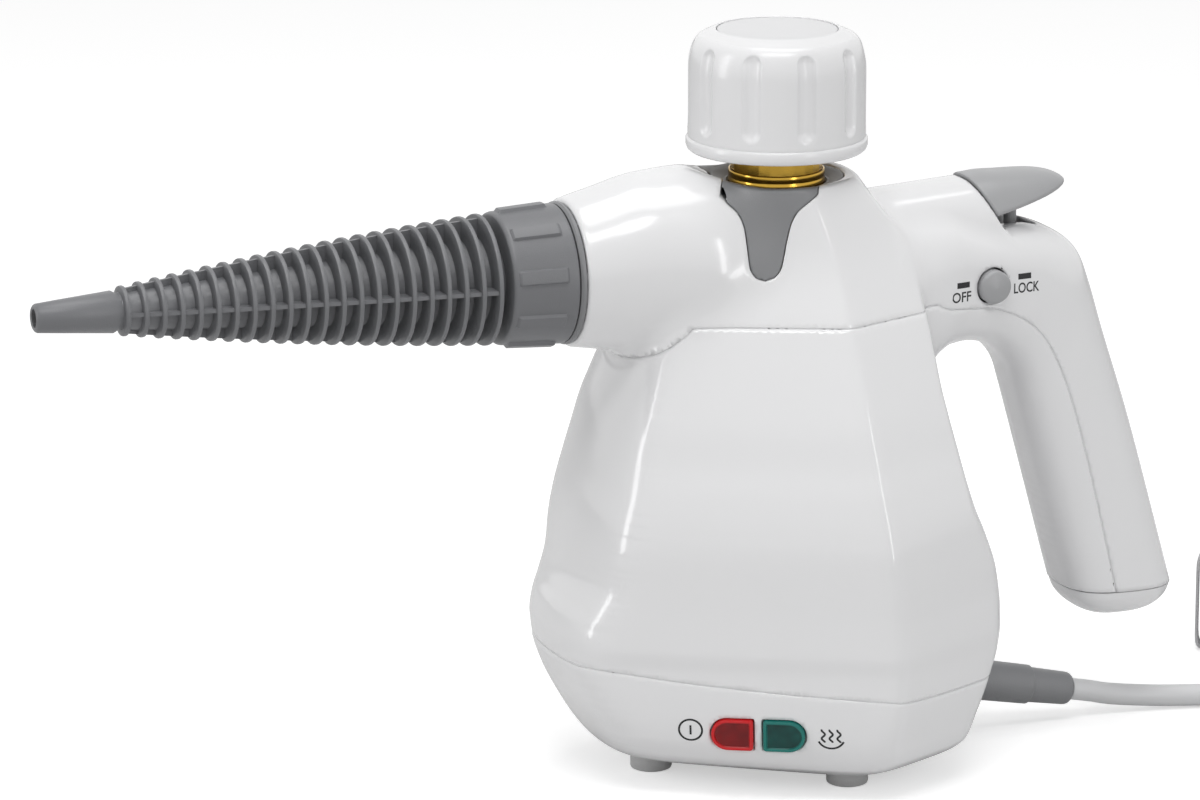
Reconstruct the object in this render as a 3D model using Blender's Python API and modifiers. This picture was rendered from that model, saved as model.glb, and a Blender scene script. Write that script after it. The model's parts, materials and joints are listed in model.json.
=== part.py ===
"""A hand-held steam cleaner: a boiler in a faceted housing, with a ringed nozzle, a screw cap and a looped handle.

Lengths are in metres. Pieces are laid out from the axis of the filler neck, with +Z up and the nozzle
towards -X, and the empty `neck_axis` moves them all so that the origin is at the middle of the footprint,
on the floor, which is FLOOR_DROP below the level that heights are measured from.
"""

import math

import bmesh
import bpy
import numpy as np
from mathutils import Matrix, Vector

mm = 0.001

# General
CLEARANCE = 0.3 * mm
RUNNING_GAP = 0.6 * mm
WALL = 2.5 * mm
OVERRUN = 6.0 * mm
MERGE = 0.001 * mm

# Housing, by height
FLOOR_DROP = 2.3 * mm
FOOT_HEIGHT = 1.7 * mm
BASE_SEAM = 31.0 * mm
COVER_SEAM = 144.0 * mm
SHOULDER = 189.0 * mm
BODY_REACH = 76.0 * mm
NOSE_RADIUS = 115.0 * mm
SIDE_RADIUS = 900.0 * mm
FLANK_RADIUS = 700.0 * mm
REAR_RADIUS = 150.0 * mm
NECK_RIM = 20.5 * mm
CORNER_POWER = 36.0
OUTER_SIDES = 36
INNER_SIDES = 20
CORNER_SHARE = 0.55
FINE_SIDES = 360
# Height as a share of the housing's; nose, side, flank and rear distances as shares of BODY_REACH; turns in degrees
BODY_SHARES = (
    (0.0000, 0.5526, 0.4079, 36, 0.5789, 27, 0.5000),
    (0.0107, 0.6382, 0.4868, 35, 0.6579, 27, 0.6053),
    (0.0219, 0.7105, 0.5658, 33.5, 0.7368, 27, 0.6579),
    (0.0336, 0.7632, 0.6276, 32, 0.7961, 27, 0.6921),
    (0.0513, 0.8066, 0.6737, 30, 0.8421, 27, 0.7171),
    (0.0870, 0.8645, 0.7197, 28.2, 0.8684, 27, 0.7434),
    (0.1564, 0.9539, 0.7500, 28, 0.9105, 27, 0.7974),
    (0.2045, 0.9921, 0.7605, 27.9, 0.9197, 27, 0.8316),
    (0.2419, 0.9974, 0.7829, 27.7, 0.9303, 27, 0.8408),
    (0.2739, 0.9816, 0.7842, 27.6, 0.9276, 27, 0.8395),
    (0.3006, 0.9539, 0.7855, 27.5, 0.9237, 27, 0.8329),
    (0.3433, 0.9171, 0.7908, 27.4, 0.9224, 26.7, 0.8145),
    (0.3967, 0.9000, 0.7961, 27.1, 0.9132, 26.3, 0.7697),
    (0.4447, 0.8763, 0.7829, 26.9, 0.8921, 25.9, 0.7197),
    (0.4981, 0.8395, 0.7553, 26.6, 0.8539, 25.5, 0.6763),
    (0.5462, 0.8066, 0.7171, 26.3, 0.8105, 25.1, 0.6421),
    (0.5996, 0.7671, 0.6816, 25.8, 0.7658, 24.7, 0.6053),
    (0.6476, 0.7211, 0.6368, 25.4, 0.7171, 24.3, 0.5763),
    (0.7544, 0.6132, 0.5211, 24.9, 0.5934, 23.0, 0.5329),
    (0.8719, 0.4539, 0.3724, 24.9, 0.4342, 21.9, 0.4605),
    (0.9519, 0.3395, 0.3158, 24.9, 0.3421, 21.9, 0.3500),
    (1.0000, 0.2697, 0.2697, 24.9, 0.2697, 21.9, 0.2697),
)
ROUNDING_START_SHARE = 0.7544

# Nozzle root on the housing
NOZZLE_AXIS_Z = 158.5 * mm
ROOT_END = 70.0 * mm
ROOT_RADIUS = 22.7 * mm
ROOT_SIDES = 24
# Reach as a share of ROOT_END; top, bottom and half width as shares of ROOT_RADIUS, from the nozzle's axis
ROOT_SHARES = (
    (1.000, 1.000, -1.000, 1.000),
    (0.860, 1.115, -1.070, 1.040),
    (0.640, 1.282, -1.190, 1.120),
    (0.400, 1.330, -1.360, 1.220),
    (0.230, 1.240, -1.300, 1.180),
    (0.000, 0.900, -1.000, 0.950),
)

# Handle: the grip's inner and outer lines, from the neck's axis and the floor
HANDLE_REACH = 133.6 * mm
GRIP_WIDTH = 36.0 * mm
GRIP_POWER = 2.8
GRIP_SIDES = 14
HANDLE_END = 43.3 * mm
HANDLE_TOP = 171.0 * mm
# Inner x, inner z, outer x, outer z and width, as shares of HANDLE_REACH, HANDLE_TOP, the same two and GRIP_WIDTH
HANDLE_SHARES = (
    (0.269, 0.655, 0.254, 1.000, 1.389),
    (0.371, 0.728, 0.374, 0.994, 1.333),
    (0.419, 0.743, 0.434, 0.980, 1.250),
    (0.468, 0.743, 0.509, 0.968, 1.167),
    (0.512, 0.732, 0.596, 0.959, 1.111),
    (0.550, 0.708, 0.675, 0.940, 1.056),
    (0.576, 0.674, 0.735, 0.905, 1.028),
    (0.595, 0.626, 0.768, 0.848, 1.000),
    (0.621, 0.556, 0.807, 0.751, 1.000),
    (0.660, 0.444, 0.877, 0.585, 1.000),
    (0.709, 0.307, 0.958, 0.368, 1.000),
    (0.730, 0.250, 1.000, 0.253, 1.000),
)
END_CAP_DEPTH = 9.8 * mm
# Depth and width of the end cap's dome as shares
END_CAP_SHARES = ((0.0, 0.99), (0.30, 0.93), (0.65, 0.77), (0.90, 0.52), (1.0, 0.26))

# Seam between the body shell and the top cover, seen from the side
# x and z as shares of HANDLE_REACH and COVER_SEAM
SEAM_SHARES = (
    (-0.977, 0.882),
    (-0.435, 0.906),
    (-0.344, 1.000),
    (0.292, 1.000),
    (0.348, 0.987),
    (0.427, 0.979),
    (0.490, 0.972),
    (0.561, 0.944),
    (0.609, 0.910),
    (0.650, 0.854),
    (0.698, 0.747),
    (0.756, 0.558),
    (0.842, 0.233),
)

# Seam between the base shell and the body shell, seen from the side
# x and z as shares of BODY_REACH and BASE_SEAM
BASE_SEAM_SHARES = (
    (-1.079, 1.274),
    (-0.882, 1.268),
    (-0.618, 1.187),
    (-0.263, 1.106),
    (0.105, 1.045),
    (0.447, 1.003),
    (1.079, 1.000),
)

# Hood over the trigger
HOOD_TOP = 178.0 * mm
HOOD_CENTRE = 158.0 * mm
HOOD_WIDTH = 32.0 * mm
HOOD_FRONT = 24.0 * mm
HOOD_REAR = 78.0 * mm
HOOD_POWER = 2.6
HOOD_SIDES = 20
RAKE_TOP_X = 62.3 * mm
RAKE_DEGREES = 29.0
JOINT_GAP = 0.5 * mm

# Trigger
PIVOT_X = 56.0 * mm
PIVOT_Z = 160.0 * mm
PIVOT_PIN = 3.0 * mm
PIVOT_EYE = 10.0 * mm
PIVOT_BOSS = 8.0 * mm
TONGUE_WIDTH = 12.0 * mm
TRIGGER_TIP = 97.0 * mm
TRIGGER_FRONT = 55.0 * mm
TRIGGER_CROWN = 21.0 * mm
TRIGGER_UNDER_FRONT = 167.6 * mm
TRIGGER_UNDER_TIP = 174.2 * mm
# Place along the trigger, centre, crown and width as shares
TRIGGER_SHARES = (
    (0.00, 0.00, 0.965, 1.00),
    (0.28, 0.05, 0.960, 0.99),
    (0.50, 0.19, 0.820, 0.94),
    (0.72, 0.38, 0.620, 0.78),
    (0.86, 0.55, 0.410, 0.57),
    (0.95, 0.67, 0.220, 0.34),
    (1.00, 0.73, 0.080, 0.12),
)

# Steam valve and its plunger
VALVE_X = 79.0 * mm
VALVE_RADIUS = 7.5 * mm
VALVE_BOTTOM = 128.5 * mm
VALVE_TOP = 147.0 * mm
VALVE_BORE_DEPTH = 11.0 * mm
PLUNGER_DIAMETER = 4.0 * mm
PLUNGER_INSERTION = 7.0 * mm
PLUNGER_COLLAR = 8.0 * mm
PLUNGER_COLLAR_Z = 154.0 * mm
PLUNGER_COLLAR_HEIGHT = 2.0 * mm
PLUNGER_HOLE = 5.6 * mm
SPRING_WIRE = 0.8 * mm
SPRING_DIAMETER = 6.6 * mm
SPRING_TURNS = 3
SPRING_TURN_POINTS = 6
VALVE_POST_LENGTH = 10.0 * mm
VALVE_POST_WIDTH = 12.0 * mm
VALVE_POST_DEPTH = 14.0 * mm

# Lock pin
LOCK_X = 64.0 * mm
LOCK_Z = 147.5 * mm
LOCK_DIAMETER = 10.4 * mm
LOCK_LENGTH = 43.0 * mm
LOCK_PROUD_END = 23.5 * mm
LOCK_DOME = 1.6 * mm

# Boiler
BOILER_X = 8.0 * mm
BOILER_RADIUS = 33.5 * mm
BOILER_RIM = 35.5 * mm
BOILER_RIM_HEIGHT = 2.5 * mm
BOILER_WALL = 2.5 * mm
BOILER_BOTTOM = 33.0 * mm
BOILER_TOP = 104.0 * mm
GASKET_HEIGHT = 1.7 * mm
GASKET_WIDTH = 4.0 * mm
LID_EDGE = 2.5 * mm
LID_RISE = 8.2 * mm
LID_PLATEAU = 27.0 * mm
BOILER_SEGMENTS = 20

# Filler neck
NECK_RADIUS = 14.15 * mm
NECK_BORE = 11.0 * mm
NECK_TOP = 206.0 * mm
NECK_FLANGE = 17.0 * mm
NECK_FLANGE_HEIGHT = 2.5 * mm
NECK_SEGMENTS = 24
TONGUE_TIP_Z = 157.5 * mm
TONGUE_ROOT_Z = 190.0 * mm
TONGUE_TURN = 28.0
TONGUE_SPAN = 32.0 * mm
TONGUE_REACH = 60.0 * mm
# Half width and height of the trim's tongue as shares of TONGUE_SPAN and of its own height
TONGUE_SHARES = (
    (0.500, 1.00),
    (0.375, 0.89),
    (0.312, 0.81),
    (0.256, 0.66),
    (0.209, 0.51),
    (0.175, 0.32),
    (0.137, 0.11),
    (0.078, 0.025),
    (0.000, 0.00),
)

# Heater, thermostat, fuse and bracket
HEATER_RADIUS = 24.0 * mm
HEATER_TUBE = 7.0 * mm
HEATER_LEG = 6.0 * mm
HEATER_DEGREES = 310.0
HEATER_POINTS = 15
THERMOSTAT_RADIUS = 8.0 * mm
THERMOSTAT_HEIGHT = 8.5 * mm
FUSE_DIAMETER = 4.4 * mm
FUSE_LENGTH = 12.0 * mm
FUSE_Y = 14.0 * mm
BRACKET_INNER = 25.5 * mm
BRACKET_OUTER = 33.0 * mm
BRACKET_PLATE_Z = 19.0 * mm
BRACKET_PLATE = 2.0 * mm
LEG_SIZE = 6.5 * mm
LEG_RADIUS = 31.5 * mm
SCREW_HEAD = 6.0 * mm
SCREW_HEAD_HEIGHT = 1.4 * mm
SCREW_SHANK = 3.0 * mm
SCREW_LENGTH = 12.0 * mm
SCREW_RECESS = 1.2 * mm

# Steam pipes
PIPE_DIAMETER = 4.0 * mm
INLET_Z = 133.0 * mm
INLET_Y = -4.0 * mm
INLET_START_X = 28.0 * mm
OUTLET_Z = 138.5 * mm
OUTLET_Y = 4.0 * mm
NECK_BYPASS = 20.5 * mm

# Steam outlet at the housing's end
FITTING_RADIUS = 6.0 * mm
FITTING_BORE = 2.0 * mm
FITTING_TAIL = 4.0 * mm
FITTING_FLANGE = 19.8 * mm
FLANGE_THICKNESS = 3.5 * mm
FITTING_INNER_X = 52.3 * mm
SPIGOT_LENGTH = 16.0 * mm
RING_RADIUS = 21.9 * mm
RING_BORE = 16.0 * mm
RING_THICKNESS = 1.8 * mm

# Nozzle
NOZZLE_REACH = 237.5 * mm
TIP_RADIUS = 4.4 * mm
TIP_ROUNDING = 0.9 * mm
TIP_CONE_END = 213.5 * mm
TIP_CONE_RADIUS = 6.4 * mm
JET_HOLE = 2.8 * mm
RING_COUNT = 22
FIRST_RING = 210.1 * mm
LAST_RING = 97.1 * mm
FIRST_RING_RADIUS = 7.6 * mm
LAST_RING_RADIUS = 20.1 * mm
RING_CROWN = 4.2 * mm
RIM = 1.5 * mm
CORE_START = 5.6 * mm
CORE_END = 13.2 * mm
RIB_COUNT = 4
RIB_THICKNESS = 1.2 * mm
RIB_SET_BACK = 0.9 * mm
NOZZLE_QUARTER_POINTS = 2
COLLAR_FRONT = 93.2 * mm
COLLAR_GAP = 0.4 * mm
COLLAR_FRONT_RADIUS = 20.4 * mm
COLLAR_REAR_RADIUS = 21.5 * mm
COLLAR_WALL = 3.0 * mm
COLLAR_BORE = 17.5 * mm
COLLAR_HOLE = 12.6 * mm
COLLAR_SEGMENTS = 36
PAD_COUNT = 9
PAD_FIRST_DEGREES = 11.5
PAD_LENGTH = 15.6 * mm
PAD_WIDTH = 4.8 * mm
PAD_HEIGHT = 1.0 * mm
PAD_SET_BACK = 1.6 * mm
PAD_BEVEL = 0.6 * mm
CONE_NECK = 12.2 * mm
CONE_FLANGE = 16.8 * mm
CONE_FLANGE_THICKNESS = 2.0 * mm
SOCKET_OUTER = 9.5 * mm
SOCKET_BORE = 7.0 * mm
SOCKET_REAR = 73.0 * mm
SEAL_THICKNESS = 1.3 * mm
JET_RADIUS = 2.6 * mm
JET_BORE = 1.4 * mm
JET_INSET = 5.0 * mm

# Cap
CAP_RADIUS = 28.0 * mm
CAP_BOTTOM = 191.7 * mm
CAP_TOP = 229.5 * mm
CAP_LIP = 3.7 * mm
CAP_CHAMFER = 1.2 * mm
CAP_STRAIGHT = 217.0 * mm
CAP_DISC_RADIUS = 18.4 * mm
CAP_DISC_THICKNESS = 1.7 * mm
CAP_DOME_POINTS = 4
CAP_SEGMENTS = 30
FLUTE_COUNT = 10
FLUTE_FIRST_DEGREES = 51.0
FLUTE_RADIUS = 4.0 * mm
FLUTE_DEPTH = 1.3 * mm
FLUTE_BOTTOM = 199.5 * mm
FLUTE_TOP = 221.0 * mm
FLUTE_SEGMENTS = 8
FLUTE_END_POINTS = 3
SKIRT_OUTER = 25.0 * mm
SKIRT_INNER = 21.0 * mm
SKIRT_DEPTH = 24.0 * mm
SLEEVE_RADIUS = 18.0 * mm
SLEEVE_BORE = 14.7 * mm
SLEEVE_BOTTOM = 193.0 * mm
CAP_GASKET_RADIUS = 13.8 * mm
CAP_GASKET_BORE = 8.0 * mm
CAP_GASKET_HEIGHT = 2.0 * mm
RELIEF_FLANGE = 12.0 * mm
RELIEF_FLANGE_HEIGHT = 2.0 * mm
RELIEF_STEM = 5.0 * mm
RELIEF_STEM_LENGTH = 5.0 * mm
RELIEF_POST = 3.0 * mm
RELIEF_POST_HEIGHT = 9.0 * mm
RELIEF_SPRING_DIAMETER = 9.0 * mm
RELIEF_SPRING_WIRE = 1.0 * mm
RELIEF_SPRING_HEIGHT = 8.0 * mm
CAP_WELL = 12.6 * mm
CAP_CORE = 7.0 * mm
CAP_CORE_TOP = 221.5 * mm

# Lamps on the base shell's near side, placed along the side facet from its middle
LAMP_Z = 20.3 * mm
RED_PLACE = -7.4 * mm
GREEN_PLACE = 8.6 * mm
LENS_WIDTH = 13.2 * mm
LENS_HEIGHT = 10.6 * mm
LENS_PROUD = 1.0 * mm
LENS_DEPTH = 4.0 * mm
LENS_ARC_POINTS = 9
BOARD_SET_BACK = 12.0 * mm
BOARD_LENGTH = 28.0 * mm
BOARD_BOTTOM = 9.9 * mm
BOARD_TOP = 26.0 * mm
BOARD_THICKNESS = 1.6 * mm
LAMP_DIAMETER = 5.0 * mm

# Mains terminals
TERMINAL_SIZE = (16.0 * mm, 14.0 * mm, 10.0 * mm)
TERMINAL_X = 25.0 * mm
TERMINAL_Y = 0.0
CLAMP_SIZE = (6.0 * mm, 18.0 * mm, 11.5 * mm)
CLAMP_X = 39.0 * mm

# Feet
FOOT_RADIUS = 6.5 * mm
FOOT_CHAMFER = 1.0 * mm
FOOT_RISE = 4.0 * mm
FOOT_FRONT_X = -41.0 * mm
FOOT_SIDE_X = 10.0 * mm
FOOT_SIDE_Y = 36.3 * mm
FOOT_REAR_X = 34.0 * mm

# Strain relief
RELIEF_X = 57.0 * mm
RELIEF_Z = 16.8 * mm
RELIEF_DROOP = 11.5
BOOT_RADIUS = 6.7 * mm
BOOT_LENGTH = 31.0 * mm
BOOT_TAPER = 0.4 * mm
BOOT_END_RADIUS = 5.6 * mm
BOOT_END_LENGTH = 15.3 * mm
BOOT_INSET = 6.6 * mm
BOOT_FLANGE_RADIUS = 8.6 * mm
BOOT_FLANGE = 2.0 * mm

# Mains lead, with its free route's points from the neck's axis
CORD_DIAMETER = 7.0 * mm
CORD_RISE = 1.4 * mm
COIL_X = 222.0 * mm
COIL_Y = 30.0 * mm
COIL_INNER = 28.0 * mm
COIL_STEP = 7.8 * mm
COIL_LAYERS = 4
COIL_LAYER_TURNS = 2.75
COIL_TURN_POINTS = 24
COIL_START_DEGREES = -100.0
TIE_DEGREES = 150.0
TIE_WIDTH = 6.0 * mm
TIE_THICKNESS = 0.8 * mm
TIE_POWER = 12
TIE_SIDES = 24
FLOOR_GAP = 0.4 * mm
LEAD_STEP = 16.0 * mm
LEAD_FIRST = (124.0 * mm, 0.5 * mm)
LEAD_FIRST_RISE = 1.3 * mm
LEAD_SECOND = (149.0 * mm, -4.0 * mm)
LEAD_THIRD = (178.0 * mm, -13.5 * mm)
TAIL_TURNS = (0.09, 0.14, 0.19, 0.23)
TAIL_OUT_SHARES = (0.30, 0.58, 0.85, 1.0)
TAIL_REACH = 20.0 * mm

# Plug
PLUG_LENGTH = 30.0 * mm
PLUG_WIDTH = 26.0 * mm
PLUG_HEIGHT = 20.0 * mm
PLUG_NECK_LENGTH = 18.0 * mm
PLUG_NECK = 10.0 * mm
BLADE_SIZE = (17.0 * mm, 1.5 * mm, 6.4 * mm)
BLADE_SPACING = 12.7 * mm
EARTH_DIAMETER = 4.8 * mm
EARTH_LENGTH = 20.0 * mm
EARTH_DROP = 5.2 * mm
BLADE_LIFT = 3.0 * mm
# Place along the plug as shares of its neck and body, then its height and width as shares of the body's
PLUG_NECK_SHARES = ((0.0, 0.48, 0.38), (0.95, 0.62, 0.50))
PLUG_BODY_SHARES = ((0.10, 0.88, 0.80), (0.30, 1.0, 0.98), (0.92, 1.0, 1.0), (1.0, 0.92, 0.93))
PLUG_POWER = 3.2
PLUG_SIDES = 16

FULL_TURN = 2 * math.pi
NECK_X = (NOZZLE_REACH - HANDLE_REACH) / 2
FLOOR_TOP = FOOT_HEIGHT + WALL
GRIP_HALF = GRIP_WIDTH / 2
BODY_HEIGHT = SHOULDER - FOOT_HEIGHT
CORD_RADIUS = CORD_DIAMETER / 2

WHITE = ((0.90, 0.90, 0.91), 0.25, 0.0)
GREY = ((0.24, 0.245, 0.26), 0.42, 0.0)
LIGHT_GREY = ((0.50, 0.505, 0.52), 0.38, 0.0)
CORD_WHITE = ((0.80, 0.81, 0.82), 0.45, 0.0)
RUBBER = ((0.72, 0.72, 0.72), 0.70, 0.0)
BLACK_RUBBER = ((0.05, 0.05, 0.05), 0.75, 0.0)
BRASS = ((0.62, 0.44, 0.16), 0.28, 1.0)
ALUMINIUM = ((0.72, 0.73, 0.74), 0.40, 1.0)
STEEL = ((0.60, 0.60, 0.61), 0.32, 1.0)
RED_GLASS = ((0.62, 0.03, 0.03), 0.10, 0.0)
GREEN_GLASS = ((0.01, 0.26, 0.20), 0.10, 0.0)
BOARD = ((0.05, 0.22, 0.10), 0.55, 0.0)


def clear_scene():
    for thing in list(bpy.data.objects):
        bpy.data.objects.remove(thing, do_unlink=True)


def new_collection(name):
    group = bpy.data.collections.new(name)
    bpy.context.scene.collection.children.link(group)
    return group


clear_scene()
PARTS = new_collection("steam_cleaner")
CUTTERS = new_collection("cutters")
neck_axis = bpy.data.objects.new("neck_axis", None)
PARTS.objects.link(neck_axis)
neck_axis.location = (NECK_X, 0, FLOOR_DROP)


def place(name, data, finish=None, location=(0, 0, 0), rotation=(0, 0, 0)):
    """Links an object under the neck's axis: a part where it has a finish, and otherwise a hidden cutter."""
    thing = bpy.data.objects.new(name, data)
    group = PARTS if finish else CUTTERS
    group.objects.link(thing)
    thing.parent = neck_axis
    thing.location = location
    thing.rotation_euler = rotation
    if finish:
        colour, roughness, metallic = finish
        coat = bpy.data.materials.new(name)
        coat.use_nodes = True
        shader = coat.node_tree.nodes["Principled BSDF"]
        shader.inputs["Base Color"].default_value = (*colour, 1.0)
        shader.inputs["Roughness"].default_value = roughness
        shader.inputs["Metallic"].default_value = metallic
        data.materials.append(coat)
    else:
        thing.hide_render = True
        thing.display_type = "WIRE"
    return thing


def mesh_from(name, build, smooth=True):
    """Makes a mesh with the given bmesh steps, its faces turned outwards."""
    data = bpy.data.meshes.new(name)
    shape = bmesh.new()
    build(shape)
    bmesh.ops.recalc_face_normals(shape, faces=shape.faces)
    shape.to_mesh(data)
    shape.free()
    if smooth:
        data.shade_smooth()
        data.set_sharp_from_angle(angle=math.radians(35))
    return data


def block(name, low, high, finish=None):
    """A box between two corners."""
    size = [b - a for a, b in zip(low, high)]
    centre = [(a + b) / 2 for a, b in zip(low, high)]

    def build(shape):
        bmesh.ops.create_cube(shape, size=1.0)
        bmesh.ops.scale(shape, vec=size, verts=shape.verts)
        bmesh.ops.translate(shape, vec=centre, verts=shape.verts)

    return place(name, mesh_from(name, build, smooth=False), finish)


def rod(name, radius, start, end, finish=None, segments=20):
    """A cylinder from one point to another, with its origin at the start."""
    start, end = Vector(start), Vector(end)
    length = (end - start).length

    def build(shape):
        lift = Matrix.Translation((0, 0, length / 2))
        bmesh.ops.create_cone(
            shape, cap_ends=True, segments=segments, radius1=radius, radius2=radius, depth=length, matrix=lift
        )

    turn = (end - start).to_track_quat("Z", "Y").to_euler()
    return place(name, mesh_from(name, build), finish, start, turn)


def turned(name, profile, finish=None, location=(0, 0, 0), rotation=(0, 0, 0), segments=24, ring=False):
    """A profile of (radius, height) turned about its own Z axis: it runs down the outer side, and a ring closes."""
    data = bpy.data.meshes.new(name)
    count = len(profile)
    edges = [(i, i + 1) for i in range(count - 1)]
    if ring:
        edges.append((count - 1, 0))
    data.from_pydata([(r, 0, h) for r, h in profile], edges, [])
    thing = place(name, data, finish, location, rotation)
    screw = thing.modifiers.new("turn", "SCREW")
    screw.angle = FULL_TURN
    screw.steps = segments
    screw.render_steps = segments
    screw.use_merge_vertices = True
    screw.merge_threshold = MERGE
    screw.use_smooth_shade = False
    return thing


TO_FRONT = (0, -math.pi / 2, 0)  # a turned piece's own Z axis points to -X
TO_FAR_SIDE = (-math.pi / 2, 0, 0)  # and here to +Y


def loft(name, rings, finish=None):
    """A skin over rings of equally many points, closed by a face at each end."""

    def build(shape):
        rows = [[shape.verts.new(point) for point in ring] for ring in rings]
        count = len(rows[0])
        for first, second in zip(rows, rows[1:]):
            for i in range(count):
                j = (i + 1) % count
                shape.faces.new((first[i], first[j], second[j], second[i]))
        shape.faces.new(rows[0])
        shape.faces.new(rows[-1])

    return place(name, mesh_from(name, build), finish)


def plate(name, outline, thickness, finish=None, matrix=None, centred=True):
    """A flat outline given a thickness: a 2D curve with an extrude, made a mesh and welded."""
    curve = bpy.data.curves.new(name, "CURVE")
    curve.dimensions = "2D"
    curve.fill_mode = "BOTH"
    curve.extrude = thickness / 2
    spline = curve.splines.new("POLY")
    spline.points.add(len(outline) - 1)
    for point, (x, y) in zip(spline.points, outline):
        point.co = (x, y, 0, 1)
    spline.use_cyclic_u = True
    guide = bpy.data.objects.new(name + "_outline", curve)
    CUTTERS.objects.link(guide)
    bpy.context.view_layer.update()
    evaluated = guide.evaluated_get(bpy.context.evaluated_depsgraph_get())
    data = bpy.data.meshes.new_from_object(evaluated)
    bpy.data.objects.remove(guide, do_unlink=True)
    shape = bmesh.new()
    shape.from_mesh(data)
    bmesh.ops.remove_doubles(shape, verts=shape.verts, dist=MERGE)
    if not centred:
        bmesh.ops.translate(shape, vec=(0, 0, thickness / 2), verts=shape.verts)
    if matrix is not None:
        bmesh.ops.transform(shape, matrix=matrix, verts=shape.verts)
    bmesh.ops.recalc_face_normals(shape, faces=shape.faces)
    shape.to_mesh(data)
    shape.free()
    data.materials.clear()
    return place(name, data, finish)


def tube(name, points, diameter, finish, resolution=2):
    """A round wire, pipe or cord through points."""
    curve = bpy.data.curves.new(name, "CURVE")
    curve.dimensions = "3D"
    curve.bevel_depth = diameter / 2
    curve.bevel_resolution = resolution
    curve.use_fill_caps = True
    spline = curve.splines.new("POLY")
    spline.points.add(len(points) - 1)
    for point, place_at in zip(spline.points, points):
        point.co = (*place_at, 1)
    return place(name, curve, finish)


def combine(thing, other, operation):
    step = thing.modifiers.new(operation.lower(), "BOOLEAN")
    step.operation = operation
    step.solver = "EXACT"
    step.object = other


def cut(thing, *cutters):
    for cutter in cutters:
        combine(thing, cutter, "DIFFERENCE")


def join(thing, *others):
    for other in others:
        combine(thing, other, "UNION")


def keep(thing, region):
    combine(thing, region, "INTERSECT")


def smooth_route(points, step):
    """Points about a step apart on one smooth curve through the route's own points."""
    knots = np.array(points, float)
    ahead = np.vstack([2 * knots[0] - knots[1], knots, 2 * knots[-1] - knots[-2]])
    fine = []
    for i in range(len(knots) - 1):
        before, start, end, after = ahead[i : i + 4]
        share = np.linspace(0, 1, 24, endpoint=False)[:, None]
        fine.append(
            0.5
            * (
                2 * start
                + (end - before) * share
                + (2 * before - 5 * start + 4 * end - after) * share**2
                + (3 * start - before - 3 * end + after) * share**3
            )
        )
    fine = np.vstack([*fine, knots[-1:]])
    along = np.concatenate([[0], np.cumsum(np.linalg.norm(np.diff(fine, axis=0), axis=1))])
    count = max(3, round(along[-1] / step) + 1)
    at = np.linspace(0, along[-1], count)
    return np.stack([np.interp(at, along, fine[:, i]) for i in range(3)], axis=1)


def from_side(x, y, z):
    """Turns a flat outline's (x, z) plane to face along Y."""
    return Matrix.Translation((x, y, z)) @ Matrix.Rotation(math.pi / 2, 4, "X")


# Housing forms


def arc_distance(angle, facing, distance, radius):
    """How far a ray from the axis runs before it meets a wall bowed to a radius, facing a given way."""
    offset = distance - radius
    along = offset * np.cos(angle - facing)
    return along + np.sqrt(np.maximum(along**2 + radius**2 - offset**2, MERGE**2))


def body_ring(z, grow, sides):
    """The housing's outline at a height: six bowed walls that meet in soft corners, with more points in the corners."""
    share = (z - FOOT_HEIGHT) / BODY_HEIGHT
    table = np.array(BODY_SHARES)
    row = [np.interp(share, table[:, 0], table[:, i]) for i in range(1, 7)]
    nose, side, side_turn, flank, flank_turn, rear = row
    blend = np.clip((share - ROUNDING_START_SHARE) / (1 - ROUNDING_START_SHARE), 0, 1)
    walls = [(math.pi, nose, NOSE_RADIUS), (0.0, rear, REAR_RADIUS)]
    for hand in (-1, 1):
        walls.append((hand * math.radians(90 + side_turn), side, SIDE_RADIUS))
        walls.append((hand * math.radians(90 - flank_turn), flank, FLANK_RADIUS))
    fine = np.linspace(0, FULL_TURN, FINE_SIDES + 1)
    total = 0
    for facing, reach, radius in walls:
        distance = reach * BODY_REACH
        bowed = max(radius * (1 - blend) + NECK_RIM * blend, distance)
        total = total + arc_distance(fine, facing, distance + grow, bowed + grow) ** -CORNER_POWER
    out = total ** (-1 / CORNER_POWER)
    outline = np.stack([out * np.cos(fine), out * np.sin(fine)], axis=1)
    steps = np.diff(outline, axis=0)
    lengths = np.linalg.norm(steps, axis=1)
    headings = np.unwrap(np.arctan2(steps[:, 1], steps[:, 0]))
    turns = np.abs(np.diff(np.append(headings, headings[0] + FULL_TURN)))
    weights = (1 - CORNER_SHARE) * lengths / lengths.sum() + CORNER_SHARE * turns / turns.sum()
    along = np.concatenate([[0], np.cumsum(weights)])
    at = np.arange(sides) / sides * along[-1]
    return [(np.interp(a, along, outline[:, 0]), np.interp(a, along, outline[:, 1]), z) for a in at]


def body_form(name, low, high, grow=0.0, sides=OUTER_SIDES, finish=None):
    heights = [FOOT_HEIGHT + row[0] * BODY_HEIGHT for row in BODY_SHARES]
    inside = [z for z in heights if low + WALL / 2 < z < high - WALL / 2]
    if grow < 0:
        inside = inside[::2]
    return loft(name, [body_ring(z, grow, sides) for z in (low, *inside, high)], finish)


def oval_ring(centre, across, up, power, sides):
    """A ring between a circle and a rectangle: a superellipse on two half axes."""
    angle = (np.arange(sides) + 0.5) * FULL_TURN / sides
    c, s = np.cos(angle), np.sin(angle)
    x = np.sign(c) * np.abs(c) ** (2 / power)
    y = np.sign(s) * np.abs(s) ** (2 / power)
    return [Vector(centre) + Vector(across) * float(u) + Vector(up) * float(v) for u, v in zip(x, y)]


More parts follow.
